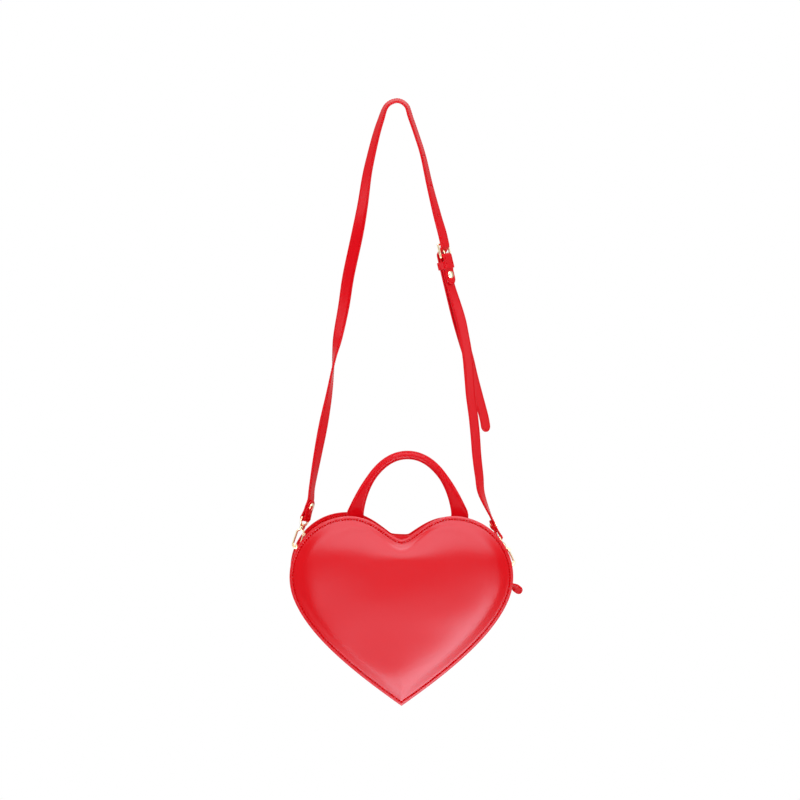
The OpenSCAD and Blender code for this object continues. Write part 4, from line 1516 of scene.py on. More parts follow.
@dataclass
class Ribbon:
    """A flat leather strip swept along a line, with rolled edges and round ends."""

    name: str
    line: Array
    sides: Array
    half: float
    thick: float
    round_start: bool = True
    round_end: bool = True
    closed: bool = False
    edge: float = 0.85
    end_turns: tuple[int, ...] = (78, 66, 54, 42, 30, 19, 9)
    tip_share: float = 0.75

    def spots(self) -> list[Spot]:
        """The directions at each point of the line.

        Returns:
            One spot for each point.
        """
        made = []
        last = len(self.line) - 1
        for i, here in enumerate(self.line):
            before = self.line[(i - 1) % len(self.line) if self.closed else max(i - 1, 0)]
            after = self.line[(i + 1) % len(self.line) if self.closed else min(i + 1, last)]
            along = unit(after - before)
            side = unit(self.sides[i] - along * (self.sides[i] @ along))
            made.append(Spot(here, side, np.cross(along, side), along))
        return made

    def _section(self, spot: Spot, on: float, half: float, flat: float) -> Array:
        """Points round the strip, with rounded edges.

        Args:
            spot: where on the line.
            on: how far past the spot.
            half: half the width.
            flat: share of the full thickness.

        Returns:
            The ring of points.
        """
        here, side, up, along = spot
        r = min(self.edge, self.thick / 2 - 0.02, half)
        ring = []
        for cu, cv, start in ((1, 1, 0), (-1, 1, 90), (-1, -1, 180), (1, -1, 270)):
            for a in (0, 30, 60, 90):
                t = math.radians(start + a)
                u = cu * (half - r) + r * math.cos(t)
                v = (cv * (self.thick / 2 - r) + r * math.sin(t)) * flat
                ring.append(here + along * on + side * u + up * v)
            if cu * cv < 0:
                continue
            lift = up * cv * self.thick / 2 * flat
            for k in (0.5, 0, -0.5):
                ring.append(here + along * on + side * cu * k * (half - r) + lift)
        return np.array(ring)

    def _cap(self, spot: Spot, way: float) -> list[Array]:
        """Sections that round off one end, from the line's end outwards.

        Args:
            spot: the line's end.
            way: 1 past the end, -1 before the start.

        Returns:
            The sections.
        """
        made = []
        for a in self.end_turns:
            t = math.radians(a)
            flat = self.tip_share if a == self.end_turns[-1] else 1.0
            made.append(self._section(spot, way * self.half * math.cos(t), self.half * math.sin(t), flat))
        return made

    def build(self, finish: Finish) -> bpy.types.Object:
        """Sweeps the strip.

        Args:
            finish: its finish.

        Returns:
            The piece.
        """
        spots = self.spots()
        rings = [self._section(spot, 0.0, self.half, 1.0) for spot in spots]
        if self.round_start and not self.closed:
            rings = self._cap(spots[0], -1.0)[::-1] + rings
        if self.round_end and not self.closed:
            rings += self._cap(spots[-1], 1.0)
        return bend(mesh_piece(self.name, *tube(rings, self.closed), finish), 60)

    def rows(self, margin: float, faces: Sequence[float] = (1.0, -1.0)) -> list[Row]:
        """Stitch rows a margin inside the edges, on the named faces.

        Args:
            margin: distance from the edges.
            faces: 1 for the upper face, -1 for the lower.

        Returns:
            The rows.
        """
        spots = self.spots()
        made = []
        reach = self.half - margin
        for face in faces:
            lift = face * (self.thick / 2 - 0.02)
            right = [f.place + f.side * reach + f.up * lift for f in spots]
            left = [f.place - f.side * reach + f.up * lift for f in spots]
            ups = [f.up * face for f in spots]
            if self.closed:
                made += [Row(np.array(side), np.array(ups), True) for side in (right, left)]
                continue
            caps = []
            for f, way in ((spots[-1], 1.0), (spots[0], -1.0)):
                end = f.place + f.up * lift
                rounded = self.round_end if way > 0 else self.round_start
                spread = np.radians(np.arange(80, -81, -20)) if rounded else []
                ways = [f.along * math.cos(a) + f.side * math.sin(a) for a in spread]
                caps.append([end + out * way * reach for out in ways])
            line = right + caps[0] + left[::-1] + caps[1]
            up = ups + [ups[-1]] * len(caps[0]) + ups[::-1] + [ups[0]] * len(caps[1])
            made.append(Row(np.array(line), np.array(up), self.round_start))
        return made


class Station(NamedTuple):
    """A section of the handle: its place, directions, half sizes and how square it is."""

    place: Array
    side: Array
    up: Array
    half_w: float
    half_t: float
    power: float


@dataclass
class Handle:
    """The rolled top handle: a leather tube round a core, flat where it is sewn down.

    The leg's pulls are where its curve's inner control points lie, as shares of the handle's span. The
    section goes from flat at the foot to round, within 1 / flat_rate of the leg.
    """

    sizes: PurseSizes = SIZES
    shift: float = 7.3
    foot_l: float = 12.0
    wrap_t: float = 1.3
    sides: int = 44
    leg_steps: int = 45
    leg_pulls: tuple[float, float] = (0.456, 0.305)
    flat_rate: float = 1.9
    round_power: float = 2.0
    foot_power: float = 5.0
    fin: float = 0.9
    fin_from: float = 0.8
    fin_t: float = 1.3
    core_from: int = 20
    stitch_margin: float = 0.7
    stitch_pitch: float = 2.6

    def _curve(self) -> Array:
        """Control points of the right leg's centre line.

        Returns:
            Four points, across and up.
        """
        s, (low, high) = self.sizes, self.leg_pulls
        top = s.lobe_r + s.handle_h
        start, rise = [s.handle_span / 2, s.lobe_r], [s.handle_span * low, s.lobe_r + s.handle_h * 0.3]
        return np.array([start, rise, [s.handle_span * high, top], [0, top]])

    def _station(self, p: Array, along: Array, t: float) -> Station:
        """The section at share t of a leg, where the leather runs along a direction.

        Args:
            p: its place.
            along: the direction.
            t: share of the leg, from the foot.

        Returns:
            The section.
        """
        s, foot = self.sizes, max(0.0, 1 - t * self.flat_rate) ** 1.4
        across = np.array([1.0, 0, 0]) if abs(along[1]) > 0.05 else np.cross([0, 1.0, 0], along)
        side = unit(across - along * (along @ across))
        half_w = (s.handle_d * (1 - foot) + s.foot_w * foot) / 2
        half_t = (s.handle_d * (1 - foot) + s.foot_t * foot) / 2
        power = self.round_power * (1 - foot) + self.foot_power * foot
        return Station(p, side, np.cross(along, side), half_w, half_t, power)

    def stations(self) -> list[Station]:
        """The sections along the whole handle.

        Returns:
            The sections from foot to foot.
        """
        s = self.sizes
        foot_y = s.zip_slot / 2 + s.foot_t
        base = s.lobe_r - s.lip_w + s.foot_t / 2 + s.run_gap
        x, bend_r = s.handle_span / 2, s.foot_t
        made = []
        for k in (1.0, 0.66, 0.33):
            p = np.array([x, foot_y + bend_r + self.foot_l * k, base])
            made.append(self._station(p, np.array([0, -1.0, 0]), 0))
        for a in np.radians(np.linspace(0, 90, 9)):
            p = np.array([x, foot_y + bend_r * (1 - math.sin(a)), base + bend_r * (1 - math.cos(a))])
            made.append(self._station(p, np.array([0, -math.cos(a), math.sin(a)]), 0))
        shares = np.linspace(0, 1, self.leg_steps + 1)[1:]
        for (px, pz), (dx, dz), t in zip(*bezier(self._curve(), shares), shares):
            made.append(self._station(np.array([px, foot_y, pz]), np.array([dx, 0, dz]), t))
        flip = np.array([-1.0, 1, 1])
        left = [st._replace(place=st.place * flip, side=st.side * flip) for st in made[-2::-1]]
        return made + left

    def _ring(self, st: Station, shrink: float, fin: float) -> Array:
        """Points round the tube, with the sewn fin on its outer side.

        Args:
            st: the section.
            shrink: how far inside its skin.
            fin: width of the fin.

        Returns:
            The points.
        """
        e = 2 / st.power
        ring = []
        for i in range(self.sides):
            a = 2 * math.pi * i / self.sides
            c, d = math.cos(a), math.sin(a)
            u = math.copysign(abs(c) ** e, c) * (st.half_w - shrink)
            v = math.copysign(abs(d) ** e, d) * (st.half_t - shrink)
            if fin and c > self.fin_from:
                u += fin * ((c - self.fin_from) / (1 - self.fin_from)) ** 0.5
                v = math.copysign(min(abs(v), max(self.fin_t, abs(v) * 0.6)), v) if i else 0.0
            ring.append(st.place + st.side * u + st.up * v)
        return OUTLINE.twisted(np.array(ring) + [self.shift, 0, 0]) + self.sizes.bag_at

    def build(self) -> list[bpy.types.Object]:
        """Makes the leather tube and its core.

        Returns:
            The wrap and the core.
        """
        stations = self.stations()
        skin = tube([self._ring(st, 0.0, self.fin) for st in stations])
        wrap = mesh_piece("handle_leather", *skin, Finish.TRIM)
        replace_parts(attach(bend(wrap, 50), "bag"), "handle_wrap")
        inside = stations[self.core_from : -self.core_from]
        cord = tube([self._ring(st, self.wrap_t + 0.1, 0.0) for st in inside])
        core = mesh_piece("handle_core_cord", *cord, Finish.CORE)
        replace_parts(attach(core, "bag"), "handle_core")
        return [wrap, core]

    def rows(self) -> list[Row]:
        """Stitch rows along the fin, on both faces.

        Returns:
            The rows.
        """
        made = []
        stations = self.stations()
        for face in (1.0, -1.0):
            points, ups = [], []
            for st in stations:
                reach = st.half_w - self.stitch_margin
                edge = st.half_t * max(0.0, 1 - (reach / st.half_w) ** st.power) ** (1 / st.power)
                v = min(edge, self.fin_t) if st.power < 4 else edge
                points.append(st.place + st.side * reach + st.up * face * v + [self.shift, 0, 0])
                ups.append(unit(st.up * face + st.side * 0.4))
            made.append(Row(OUTLINE.twisted(np.array(points)) + self.sizes.bag_at, np.array(ups)))
        return made


@dataclass
class RingTabs:
    """The leather tabs that hold the rings to the zip strip."""

    sizes: PurseSizes = SIZES
    reach: float = 15.0
    width_share: float = 0.86
    ply_gap: float = 0.06
    ply_steps: int = 8
    stitch_margin: float = 1.5
    stitch_lift: float = 0.46
    cross_in: float = 1.4
    stitch_pitch: float = 2.6

    def build(self, side: int) -> list[bpy.types.Object]:
        """Makes one tab and its stitches.

        Args:
            side: -1 for the left lobe, 1 for the right.

        Returns:
            The leather and the stitching.
        """
        s, name = self.sizes, "left" if side < 0 else "right"
        ribbon = self._ribbon(side, name)
        piece = ribbon.build(Finish.TRIM)
        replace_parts(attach(piece, "bag"), f"ring_tab_{name}")
        spots = ribbon.spots()[: self.ply_steps]
        out = [unit(f.place - (s.bag_at + [side * s.lobe_x, s.ring_y, 0])) for f in spots]
        lift = s.gusset_t * self.stitch_lift
        reach = ribbon.half - self.stitch_margin
        rows = []
        for edge in (-1.0, 1.0):
            line = [f.place + f.side * edge * reach + up * lift for f, up in zip(spots, out)]
            rows.append(Row(np.array(line), np.array(out)))
        f, up = spots[0], out[0]
        start = f.place + unit(spots[1].place - f.place) * self.cross_in + up * lift
        across = np.linspace(-reach, reach, self.ply_steps)
        rows.append(Row(np.array([start + f.side * a for a in across]), np.tile(up, (len(across), 1))))
        sewn = REPEAT.lay(f"ring_tab_stitches_{name}", rows, self.stitch_pitch, PATTERNS.fine, Finish.THREAD)
        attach(sewn, "bag")
        return [piece, sewn]

    def _ribbon(self, side: int, name: str) -> Ribbon:
        """The tab's leather: over the strip, round the ring's bar and back under itself.

        Args:
            side: -1 for the left lobe, 1 for the right.
            name: the side's name.

        Returns:
            The ribbon.
        """
        s = self.sizes
        thick = s.gusset_t
        inner, loop = s.tab_rad + thick / 2, s.loop_in + thick / 2
        line: list[tuple[float, float]] = []
        for k in np.linspace(1, 0.1, self.ply_steps):
            t = math.radians(-self.reach * k)
            line.append(((inner + thick) * math.cos(t), (inner + thick) * math.sin(t)))
        for a in range(-35, 221, 17):
            t = math.radians(a)
            line.append((s.bar_rad + loop * math.cos(t), loop * math.sin(t)))
        for k in np.linspace(0.08, 0.985, self.ply_steps):
            t = math.radians(-self.reach * k)
            line.append((inner * math.cos(t), inner * math.sin(t)))
        ring_at = s.ring_left if side < 0 else s.ring_right
        turn = math.radians(ring_at) - math.atan2(s.contact[1], s.contact[0])
        x, z = np.array(line).T
        px, pz = x * math.cos(turn) - z * math.sin(turn), x * math.sin(turn) + z * math.cos(turn)
        points = np.stack([side * (s.lobe_x + px), np.full(len(px), s.ring_y), pz], 1) + s.bag_at
        sides = np.tile([0.0, 1.0, 0.0], (len(points), 1))
        half = s.strap_w * self.width_share / 2
        return Ribbon(
            f"ring_tab_leather_{name}", points, sides, half, thick - self.ply_gap, False, False, edge=0.7
        )


@dataclass
class ShoulderStrap:
    """The long and the short strap, their stitching and the keeper.

    A run's points are shares of the heart's width and of the strap's drop, and the strap's turn in
    degrees from edge-on. The tail's are shares of the strap's width, across and off the short strap.
    """

    sizes: PurseSizes = SIZES
    hook_in: float = 2.8
    hook_r: float = 1.2
    hook_leg: float = 13.0
    hook_play: float = 0.9
    collar_h: float = 3.6
    swivel_right: float = 30.0
    lean_left: float = 19.0
    left_turn: float = 25.0
    flap_l: float = 14.0
    buckle_lean: float = 13.0
    buckle_turn: float = 42.0
    buckle_h: float = 14.0
    buckle_flap: float = 24.5
    keeper_h: float = 8.4
    keeper_t: float = 1.2
    keeper_s: float = 9.3
    keeper_near: float = -0.6
    crest_tilt: float = 22.0
    tail_share: float = 0.5
    keeper_corner: float = 1.5
    prong_r: float = 0.9
    seat_gap: float = 0.05
    hole_r: float = 1.6
    prong_hole_r: float = 1.9
    prong_hole_s: float = 8.0
    peg_lean: float = 34.0
    stitch_margin: float = 1.8
    stitch_pitch: float = 2.8
    steps: int = 8
    left_run: tuple[tuple[float, float, float], ...] = (
        (-0.386, 0.815, 22), (-0.362, 0.751, 34), (-0.336, 0.687, 40), (-0.31, 0.623, 24),
        (-0.293, 0.57, 4), (-0.284, 0.538, -16), (-0.268, 0.496, -46), (-0.242, 0.433, -60),
        (-0.221, 0.369, -66), (-0.182, 0.284, -68), (-0.157, 0.221, -54), (-0.137, 0.157, -43),
        (-0.118, 0.115, -37), (-0.096, 0.073, -32), (-0.075, 0.041, -28),
    )
    right_run: tuple[tuple[float, float, float], ...] = (
        (0.062, 0.034, 22), (0.091, 0.073, 22), (0.119, 0.115, 23), (0.149, 0.178, 28), (0.183, 0.241, 38),
    )
    short_run: tuple[tuple[float, float, float], ...] = (
        (0.284, 0.454, 56), (0.304, 0.496, 54), (0.32, 0.538, 52), (0.328, 0.581, 49), (0.335, 0.623, 47),
        (0.347, 0.666, 46), (0.356, 0.708, 46), (0.363, 0.751, 44), (0.374, 0.794, 40), (0.385, 0.832, 29),
    )
    tail: tuple[tuple[float, float], ...] = (
        (0.05, -0.45), (0.15, -0.42), (0.4, -0.4), (0.75, -0.36), (1.15, -0.3), (1.45, -0.25), (1.6, -0.2),
    )

    def __post_init__(self) -> None:
        """Works out the places that follow from the sizes."""
        s = self.sizes
        self.loop_in = s.loop_in
        self.fold_r = self.loop_in + s.strap_t / 2
        self.ply = s.strap_t / 2 + s.run_gap / 2
        self.tail_n = self.fold_r + s.strap_t + s.run_gap * 3
        reach = math.hypot(*s.contact)
        top_z = self.hook_in - s.wire_r - self.hook_play + self.hook_leg
        eye_r = math.hypot(s.strap_w / 2 + s.wire_r + s.run_gap, self.loop_in + s.strap_t)
        eye_z = top_z + self.hook_in + self.hook_r * 2 + s.run_gap + self.collar_h - s.wire_r + eye_r
        hook_w = (self.hook_in + self.hook_r) * math.cos(math.radians(self.swivel_right)) + self.hook_r
        chain = s.lobe_r - s.lip_w + hook_w + s.run_gap * 2
        lean_r = math.radians(s.ring_right) + math.acos(chain / reach)
        lean_l = math.radians(self.lean_left)
        self.left_up = np.array([math.sin(lean_l), 0, math.cos(lean_l)])
        self.right_up = np.array([-math.sin(lean_r), 0, math.cos(lean_r)])
        a, b = math.radians(s.ring_left), math.radians(s.ring_right)
        centre = s.bag_at + [0, s.ring_y, 0]
        left = centre + [-s.lobe_x - reach * math.cos(a), 0, reach * math.sin(a)]
        right = centre + [s.lobe_x + reach * math.cos(b), 0, reach * math.sin(b)]
        self.left_bar, self.right_bar = left + self.left_up * eye_z, right + self.right_up * eye_z
        t = math.radians(self.left_turn)
        self.left_w = np.array([math.sin(t) * math.cos(lean_l), math.cos(t), -math.sin(t) * math.sin(lean_l)])
        self.left_out = np.cross(self.left_up, self.left_w)
        self.right_w = np.array([0.0, 1.0, 0.0])
        self.right_out = np.cross(self.right_w, self.right_up)
        self.buckle_at = np.array([0.221 * s.heart_w, 0, -0.328 * s.hang_drop])
        lean, turn = math.radians(self.buckle_lean), math.radians(self.buckle_turn)
        self.buckle_up = np.array([-math.sin(lean), 0, math.cos(lean)])
        across = np.array([math.cos(lean), 0, math.sin(lean)])
        self.buckle_w = across * math.sin(turn) + np.array([0, math.cos(turn), 0])
        self.buckle_out = across * math.cos(turn) - np.array([0, math.sin(turn), 0])

    def _folded(self, bar: Array, up: Array, out: Array, w: Array) -> list[Array]:
        """Route points of a strap end folded round an eye's bar.

        Args:
            bar: the bar's middle.
            up: direction along the strap.
            out: direction off its face.
            w: direction across it.

        Returns:
            The points, from the flap to the run.
        """

        def at(height: float, off: float) -> Array:
            """A route point at a height over the bar and a distance off its plane."""
            return np.concatenate([bar + up * height + out * off, w])

        made = [at(self.flap_l * k, -self.ply) for k in (1, 0.8, 0.58)]
        for a in range(-30, 211, 30):
            t = math.radians(a)
            made.append(at(-self.fold_r * math.sin(t), -self.fold_r * math.cos(t)))
        return made + [at(self.flap_l * k, self.ply) for k in (0.58, 0.8, 1, 1.5)]

    def _run(self, x: float, z: float, turn: float) -> Array:
        """A route point from shares of the heart's width and the strap's drop."""
        t = math.radians(turn)
        return np.array([x * self.sizes.heart_w, 0, -z * self.sizes.hang_drop, math.sin(t), math.cos(t), 0])

    def _crest(self, x: float, z: float, lean: float) -> Array:
        """A route point over the peg, where the strap's front edge hangs a little lower.

        Args:
            x: share of the heart's width.
            z: share of the strap's drop.
            lean: how far the strap leans there, in degrees.

        Returns:
            The route point.
        """
        p, a, t = self._run(x, z, 0), math.radians(lean), math.radians(self.crest_tilt)
        p[3:] = [math.sin(a) * math.sin(t), math.cos(t), math.cos(a) * math.sin(t)]
        return p

    def _buckle(self, height: float, off: float) -> Array:
        """A route point in the buckle's own frame."""
        here = self.buckle_at + self.buckle_up * height + self.buckle_out * off
        return np.concatenate([here, self.buckle_w])

    def _tail(self, i: int) -> Array:
        """A route point of the loose end behind the short strap.

        Args:
            i: its number.

        Returns:
            The route point.
        """
        x, z, turn = self.short_run[i]
        t = math.radians(turn)
        across, off = (v * self.sizes.strap_w for v in self.tail[i])
        p = self._run(x, z, turn)
        p[:3] += [across * math.sin(t) + off * math.cos(t), across * math.cos(t) - off * math.sin(t), 0]
        return p

    def long_route(self) -> Array:
        """All route points of the long strap.

        Returns:
            Place and direction across, a row for each point.
        """
        s, h = self.sizes, self.buckle_h
        top = s.wire_r + s.strap_t / 2 + s.run_gap
        share = top / self.tail_n
        cross = [(1, share), (0.82, 0.9 * share), (0.68, 0.24), (0.39, -0.64), (0.25, -0.94)]
        cross += [(0, -1), (-0.6, -1), (-1.1, -1)]
        made = self._folded(self.left_bar, self.left_up, self.left_out, self.left_w)
        made += [self._run(*p) for p in self.left_run]
        made.append(self._crest(-0.048, 0.009, -self.peg_lean))
        made.append(self._crest(0, -s.strap_t / 2 / s.hang_drop, 0))
        made.append(self._crest(0.042, 0.008, self.peg_lean))
        made += [self._run(*p) for p in self.right_run]
        made += [self._buckle(h * 1.9, top)] + [self._buckle(a * h, b * self.tail_n) for a, b in cross]
        tail = [self._tail(i) for i in range(len(self.tail))]
        tail[-1] = tail[-2] + (tail[-1] - tail[-2]) * self.tail_share
        made += [self._buckle(-h * 1.7, -self.tail_n)] + tail
        return np.array(made)

    def short_route(self) -> Array:
        """All route points of the short strap.

        Returns:
            Place and direction across, a row for each point.
        """
        b, r = self.buckle_flap, self.fold_r
        made = [self._buckle(-b * k, 2 * self.ply - r) for k in (1, 0.8, 0.65)]
        made += [self._buckle(-b * 0.45, r * 0.5), self._buckle(-b * 0.25, r * 0.95)]
        made += [self._buckle(r * math.sin(a), r * math.cos(a)) for a in np.radians(range(0, 181, 30))]
        made += [self._buckle(-b * k, -r) for k in (0.25, 0.65, 1, 1.35)]
        made += [self._run(*p) for p in self.short_run]
        made += self._folded(self.right_bar, self.right_up, self.right_out, self.right_w)[::-1]
        return np.array(made)

    def _smooth(self, p: Array) -> Array:
        """A smooth curve through the route points.

        Args:
            p: the route points.

        Returns:
            The curve, with a fixed count of steps between two points.
        """
        made = []
        for i in range(len(p) - 1):
            a, b, c, d = p[max(i - 1, 0)], p[i], p[i + 1], p[min(i + 2, len(p) - 1)]
            turn, swing = a * 2 - b * 5 + c * 4 - d, b * 3 - a - c * 3 + d
            for k in range(self.steps):
                t = k / self.steps
                made.append((b * 2 + (c - a) * t + turn * t * t + swing * t**3) / 2)
        return np.array(made + [p[-1]])

    def _ribbon(self, name: str, route: Array) -> Ribbon:
        """A strap along a route."""
        path = self._smooth(route)
        return Ribbon(name, path[:, :3], path[:, 3:], self.sizes.strap_w / 2, self.sizes.strap_t)

    def _cut(self, piece: bpy.types.Object, holes: Sequence[tuple[Array, Array, float]]) -> None:
        """Punches round holes through a strap.

        Args:
            piece: the strap.
            holes: place, direction and radius of each, in millimetres.
        """
        rings, faces, at = [], [], 0
        for here, way, radius in holes:
            way = unit(way)
            side = unit(np.cross(way, [0.3, 0.9, 0.2]))
            other = np.cross(way, side)
            ring = [side * math.cos(a) + other * math.sin(a) for a in np.arange(20) * math.pi / 10]
            ends = [here + way * end + radius * np.array(ring) for end in (-4.0, 4.0)]
            points, skin = tube(ends)
            rings.append(points)
            faces += [[i + at for i in face] for face in skin]
            at += len(points)
        cutter = mesh_piece("punch", np.concatenate(rings), faces, Finish.TRIM)
        modifier = piece.modifiers.new("holes", "BOOLEAN")
        modifier.operation, modifier.solver, modifier.object = "DIFFERENCE", "EXACT", cutter
        settle(piece)
        bpy.data.objects.remove(cutter)

    def _holes(self, strap: Ribbon, count: int) -> list[tuple[Array, Array, float]]:
        """The long strap's holes: three past the peg, one in the loose end and the prong's.

        Args:
            strap: the long strap.
            count: how many route points it has.

        Returns:
            Place, direction and radius of each hole.
        """
        spots = strap.spots()
        folded = self._folded(self.left_bar, self.left_up, self.left_out, self.left_w)
        first = len(folded) + len(self.left_run) + 5
        places = [first, first + 1, first + 2, count - len(self.tail)]
        made = [(spots[i * self.steps].place, spots[i * self.steps].up, self.hole_r) for i in places]
        turn = math.asin((self.sizes.wire_r + self.prong_r + self.seat_gap * 2) / self.buckle_h)
        way = self.buckle_up * math.cos(turn) - self.buckle_out * math.sin(turn)
        return made + [(self.buckle_at + way * self.prong_hole_s, way, self.prong_hole_r)]

    def build(self) -> list[bpy.types.Object]:
        """Makes both straps, their stitching and the keeper.

        Returns:
            The pieces.
        """
        made = []
        route = self.long_route()
        long_strap = self._ribbon("strap_leather_long", route)
        piece = long_strap.build(Finish.TRIM)
        self._cut(piece, self._holes(long_strap, len(route)))
        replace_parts(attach(piece, "strap"), "strap_long")
        made.append(piece)
        short = self._ribbon("strap_leather_short", self.short_route())
        piece = short.build(Finish.TRIM)
        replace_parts(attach(piece, "strap"), "strap_short")
        made.append(piece)
        rows = long_strap.rows(self.stitch_margin) + short.rows(self.stitch_margin)
        sewn = REPEAT.lay("strap_stitches", rows, self.stitch_pitch, PATTERNS.fine, Finish.THREAD)
        made.append(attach(sewn, "strap"))
        made.append(self._keeper())
        return made

    def _keeper(self) -> bpy.types.Object:
        """Makes the leather loop below the buckle, whose near side runs behind the front ply.

        Returns:
            The dressed piece.
        """
        s, corner, near = self.sizes, self.keeper_corner, self.keeper_near
        half = s.strap_w / 2 + s.run_gap + self.keeper_t / 2
        far = self.tail_n + s.strap_t / 2 + s.run_gap + self.keeper_t / 2
        loop = []
        sides = [(half, near, 0, (-1, 0)), (-half, near, 90, (0, -1))]
        sides += [(-half, -far, 180, (1, 0)), (half, -far, 270, (0, 1))]
        for across, off, start, way in sides:
            for a in (0, 22, 45, 68, 90):
                t = math.radians(start + a)
                x = across - math.copysign(corner, across) + corner * math.cos(t)
                n = off - math.copysign(corner, off) + corner * math.sin(t)
                loop.append((x, n))
            span = (2 * half if way[0] else near + far) - 2 * corner
            loop += [(x + way[0] * span * k, n + way[1] * span * k) for k in (0.25, 0.5, 0.75)]
        middle = self.buckle_at - self.buckle_up * self.keeper_s
        line = np.array([middle + self.buckle_w * x + self.buckle_out * n for x, n in loop])
        ups, reach = np.tile(self.buckle_up, (len(line), 1)), self.keeper_h / 2
        ribbon = Ribbon("keeper_leather", line, ups, reach, self.keeper_t, closed=True, edge=0.6)
        piece = ribbon.build(Finish.TRIM)
        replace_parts(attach(piece, "keeper"), "keeper")
        return piece


@dataclass
class Hardware:
    """The metal pieces that keep their solids and get a finish."""

    gold: tuple[str, ...] = (
        "zip_stops", "zip_slider", "zip_pull_link", "d_ring_left", "d_ring_right", "strap_rivets",
        "buckle_frame", "buckle_prong", "clasp_eye_left", "clasp_eye_right", "clasp_hook_left",
        "clasp_hook_right", "clasp_gate_left", "clasp_gate_right", "gate_pin_left", "gate_pin_right",
    )

    def dress(self) -> list[bpy.types.Object]:
        """Gives each solid its finish.

        Returns:
            The solids.
        """
        made = [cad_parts[name] for name in self.gold]
        for node in made:
            for slot in node.material_slots:
                slot.material = WARDROBE[Finish.GOLD]
        return made


# Studio


@dataclass(frozen=True)
class Lamp:
    """A soft rectangular lamp: its place, size, power, and whether gloss shows it."""

    name: str
    place: tuple[float, float, float]
    size: tuple[float, float]
    power: float
    seen: bool = False


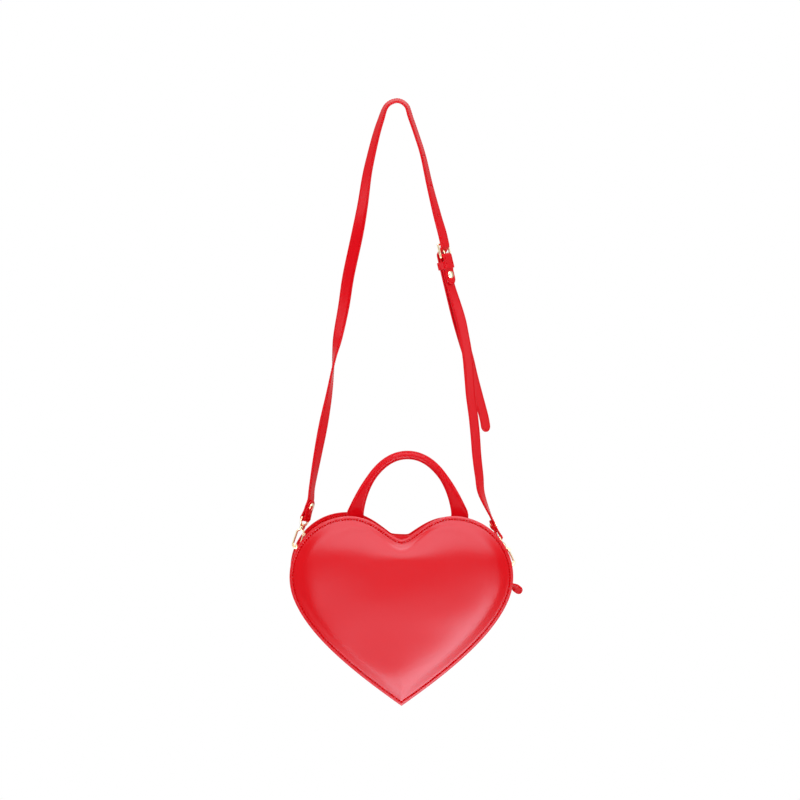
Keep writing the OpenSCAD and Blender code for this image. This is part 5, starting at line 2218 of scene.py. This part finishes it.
@dataclass
class Studio:
    """Plain pale studio with soft lamps and the photograph's camera, in metres.

    The surround lights the purse evenly. In gloss it shows pale sheets in front, above, below and low
    to the right, and a pale rim at the sides. The steps bound those parts by the direction's X to the
    right, Y to the back and Z up.
    """

    target: tuple[float, float, float] = (0.0024, -0.047, -0.3256)
    distance: float = 2.5
    azimuth: float = -1.0
    width_seen: float = 0.857
    floor_z: float = -0.95
    floor_half: float = 1.05
    surround: float = 0.5
    gloss: float = 0.05
    upper: float = 3.4
    middle: float = 1.5
    lower: float = 5.8
    rim: float = 2.1
    low_slant: float = 0.5
    inside: tuple[Step, Step] = (Step(-0.45, -0.2), Step(0.3, 0.6, 1.0, 0.0))
    high_up: Step = Step(0.13, 0.2)
    level_on: Step = Step(0.05, -0.06)
    low_right: tuple[Step, Step, Step] = (Step(0.26, 0.5), Step(-0.5, -0.3), Step(0.3, 0.62, 1.0, 0.0))
    in_front: Step = Step(-0.55, -0.25, 1.0, 0.1)
    beside: tuple[Step, Step] = (Step(-0.7, -0.35), Step(-0.2, 0.15, 1.0, 0.25))
    aim: tuple[float, float, float] = (0.0, -0.02, -0.5)
    lamps: tuple[Lamp, ...] = (
        Lamp("top_front", (0.0, -3.3, 0.37), (3.0, 0.95), 26.0),
        Lamp("top", (0.0, -0.5, 1.3), (2.0, 1.2), 14.0, seen=True),
        Lamp("left", (-2.2, -0.6, -0.3), (1.0, 2.2), 12.0),
        Lamp("right", (2.2, -0.6, -0.3), (1.0, 2.2), 12.0),
        Lamp("back", (0.2, 2.6, 0.3), (2.4, 1.6), 26.0),
    )

    def camera(self) -> None:
        """Sets the camera at the photograph's angle."""
        data = bpy.data.cameras.new("camera")
        data.lens = data.sensor_width * self.distance / self.width_seen
        data.clip_end = 50
        eye = bpy.data.objects.new("camera", data)
        bpy.context.scene.collection.objects.link(eye)
        a = math.radians(self.azimuth)
        back = Vector((math.sin(a), -math.cos(a), 0))
        eye.location = Vector(self.target) + back * self.distance
        eye.rotation_euler = (-back).to_track_quat("-Z", "Y").to_euler()
        bpy.context.scene.camera = eye

    def hang(self, lamp: Lamp) -> None:
        """Adds one lamp, turned to the purse.

        Args:
            lamp: the lamp.
        """
        data = bpy.data.lights.new(lamp.name, "AREA")
        data.shape, data.energy = "RECTANGLE", lamp.power
        data.size, data.size_y = lamp.size
        made = bpy.data.objects.new(lamp.name, data)
        bpy.context.scene.collection.objects.link(made)
        made.location = lamp.place
        made.visible_glossy = lamp.seen
        way = Vector(self.aim) - Vector(lamp.place)
        made.rotation_euler = way.to_track_quat("-Z", "Y").to_euler()

    def _gloss(self, g: Graph) -> Signal:
        """How bright gloss shows the surround in each direction.

        Args:
            g: the world's graph.

        Returns:
            The brightness.
        """
        way = g.node("ShaderNodeSeparateXYZ", {}, {0: g.node("ShaderNodeTexCoord").out("Generated")})
        side, depth, height = way.out("X"), way.out("Y"), way.out("Z")
        inside = g.ramp(side, self.inside[0]) * g.ramp(side, self.inside[1])
        upper = g.ramp(height, self.high_up) * self.upper
        middle = g.ramp(height, self.level_on) * self.middle
        lower = g.ramp(side * self.low_slant - height, self.low_right[0]) * g.ramp(side, self.low_right[1])
        lower = lower * g.ramp(side, self.low_right[2]) * self.lower
        sheet = self.gloss + (inside * (upper + middle) + lower) * g.ramp(depth, self.in_front)
        return sheet + g.ramp(depth, self.beside[0]) * g.ramp(depth, self.beside[1]) * self.rim

    def world(self) -> None:
        """A white surround for the camera and an even one for light, with its own look in gloss."""
        g = Graph("studio", world=True)
        rays = g.node("ShaderNodeLightPath")
        camera, glossy = rays.out("Is Camera Ray"), rays.out("Is Glossy Ray")
        level = self.surround + camera * (1 - self.surround) + glossy * (self._gloss(g) - self.surround)
        back = g.node("ShaderNodeBackground", {}, {"Color": (1, 1, 1, 1), "Strength": level})
        g.node("ShaderNodeOutputWorld", {}, {"Surface": back})
        bpy.context.scene.world = g.owner

    def floor(self) -> None:
        """A pale floor below the hanging purse."""
        g = Graph("studio_floor")
        speck = g.noise(g.place(), 0.4, 2.0)
        pale = g.blend(speck * 0.2, (0.9, 0.9, 0.9), (0.86, 0.86, 0.86))
        material = g.finish({"Base Color": pale, "Roughness": 0.9})
        mesh = bpy.data.meshes.new("floor")
        z, w = self.floor_z, self.floor_half
        mesh.from_pydata([(-w, -w, z), (w, -w, z), (w, w, z), (-w, w, z)], [], [(0, 1, 2, 3)])
        mesh.materials.append(material)
        floor = bpy.data.objects.new("floor", mesh)
        bpy.context.scene.collection.objects.link(floor)
        floor.visible_glossy = False

    def build(self) -> None:
        """Sets up camera, lamps, world and floor."""
        self.camera()
        self.world()
        self.floor()
        for lamp in self.lamps:
            self.hang(lamp)
        bpy.context.scene.view_settings.view_transform = "Standard"


def report(title: str, pieces: Iterable[bpy.types.Object]) -> None:
    """Logs the pieces of one sub-assembly."""
    for piece in pieces:
        LOG.info("%s: %s, %d faces", title, piece.name, len(piece.data.polygons))


def main() -> None:
    """Dresses the whole purse and sets up the studio."""
    logging.basicConfig(level=logging.INFO)
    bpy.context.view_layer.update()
    panels, gusset, chain, handle = HeartPanels(), Gusset(), ZipChain(), Handle()
    layers = PanelLayers(panels)
    report("panels", [panels.build(False), panels.build(True)])
    report("boards and linings", layers.build(False) + layers.build(True))
    report("gusset", [gusset.lower(Stretch.LOW_LEFT), gusset.lower(Stretch.LOW_RIGHT), gusset.lining()])
    report("zip strips", [gusset.strip(False), gusset.strip(True)])
    report("zip", [chain.tape(False), chain.tape(True), chain.teeth(False), chain.teeth(True)])
    report("zip pull", chain.pull())
    report("handle", handle.build())
    sewn = REPEAT.lay(
        "bag_stitches", panels.rows() + gusset.rows(), panels.stitch_pitch, PATTERNS.stitch, Finish.THREAD
    )
    seam = REPEAT.lay("handle_stitches", handle.rows(), handle.stitch_pitch, PATTERNS.fine, Finish.SEAM)
    for piece in (sewn, seam):
        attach(piece, "bag")
    report("stitching", [sewn, seam])
    tabs = RingTabs()
    report("ring tabs", tabs.build(-1) + tabs.build(1))
    report("straps", ShoulderStrap().build())
    report("hardware", Hardware().dress())
    PATTERNS.remove()
    Studio().build()


if __name__ == "__main__":
    main()
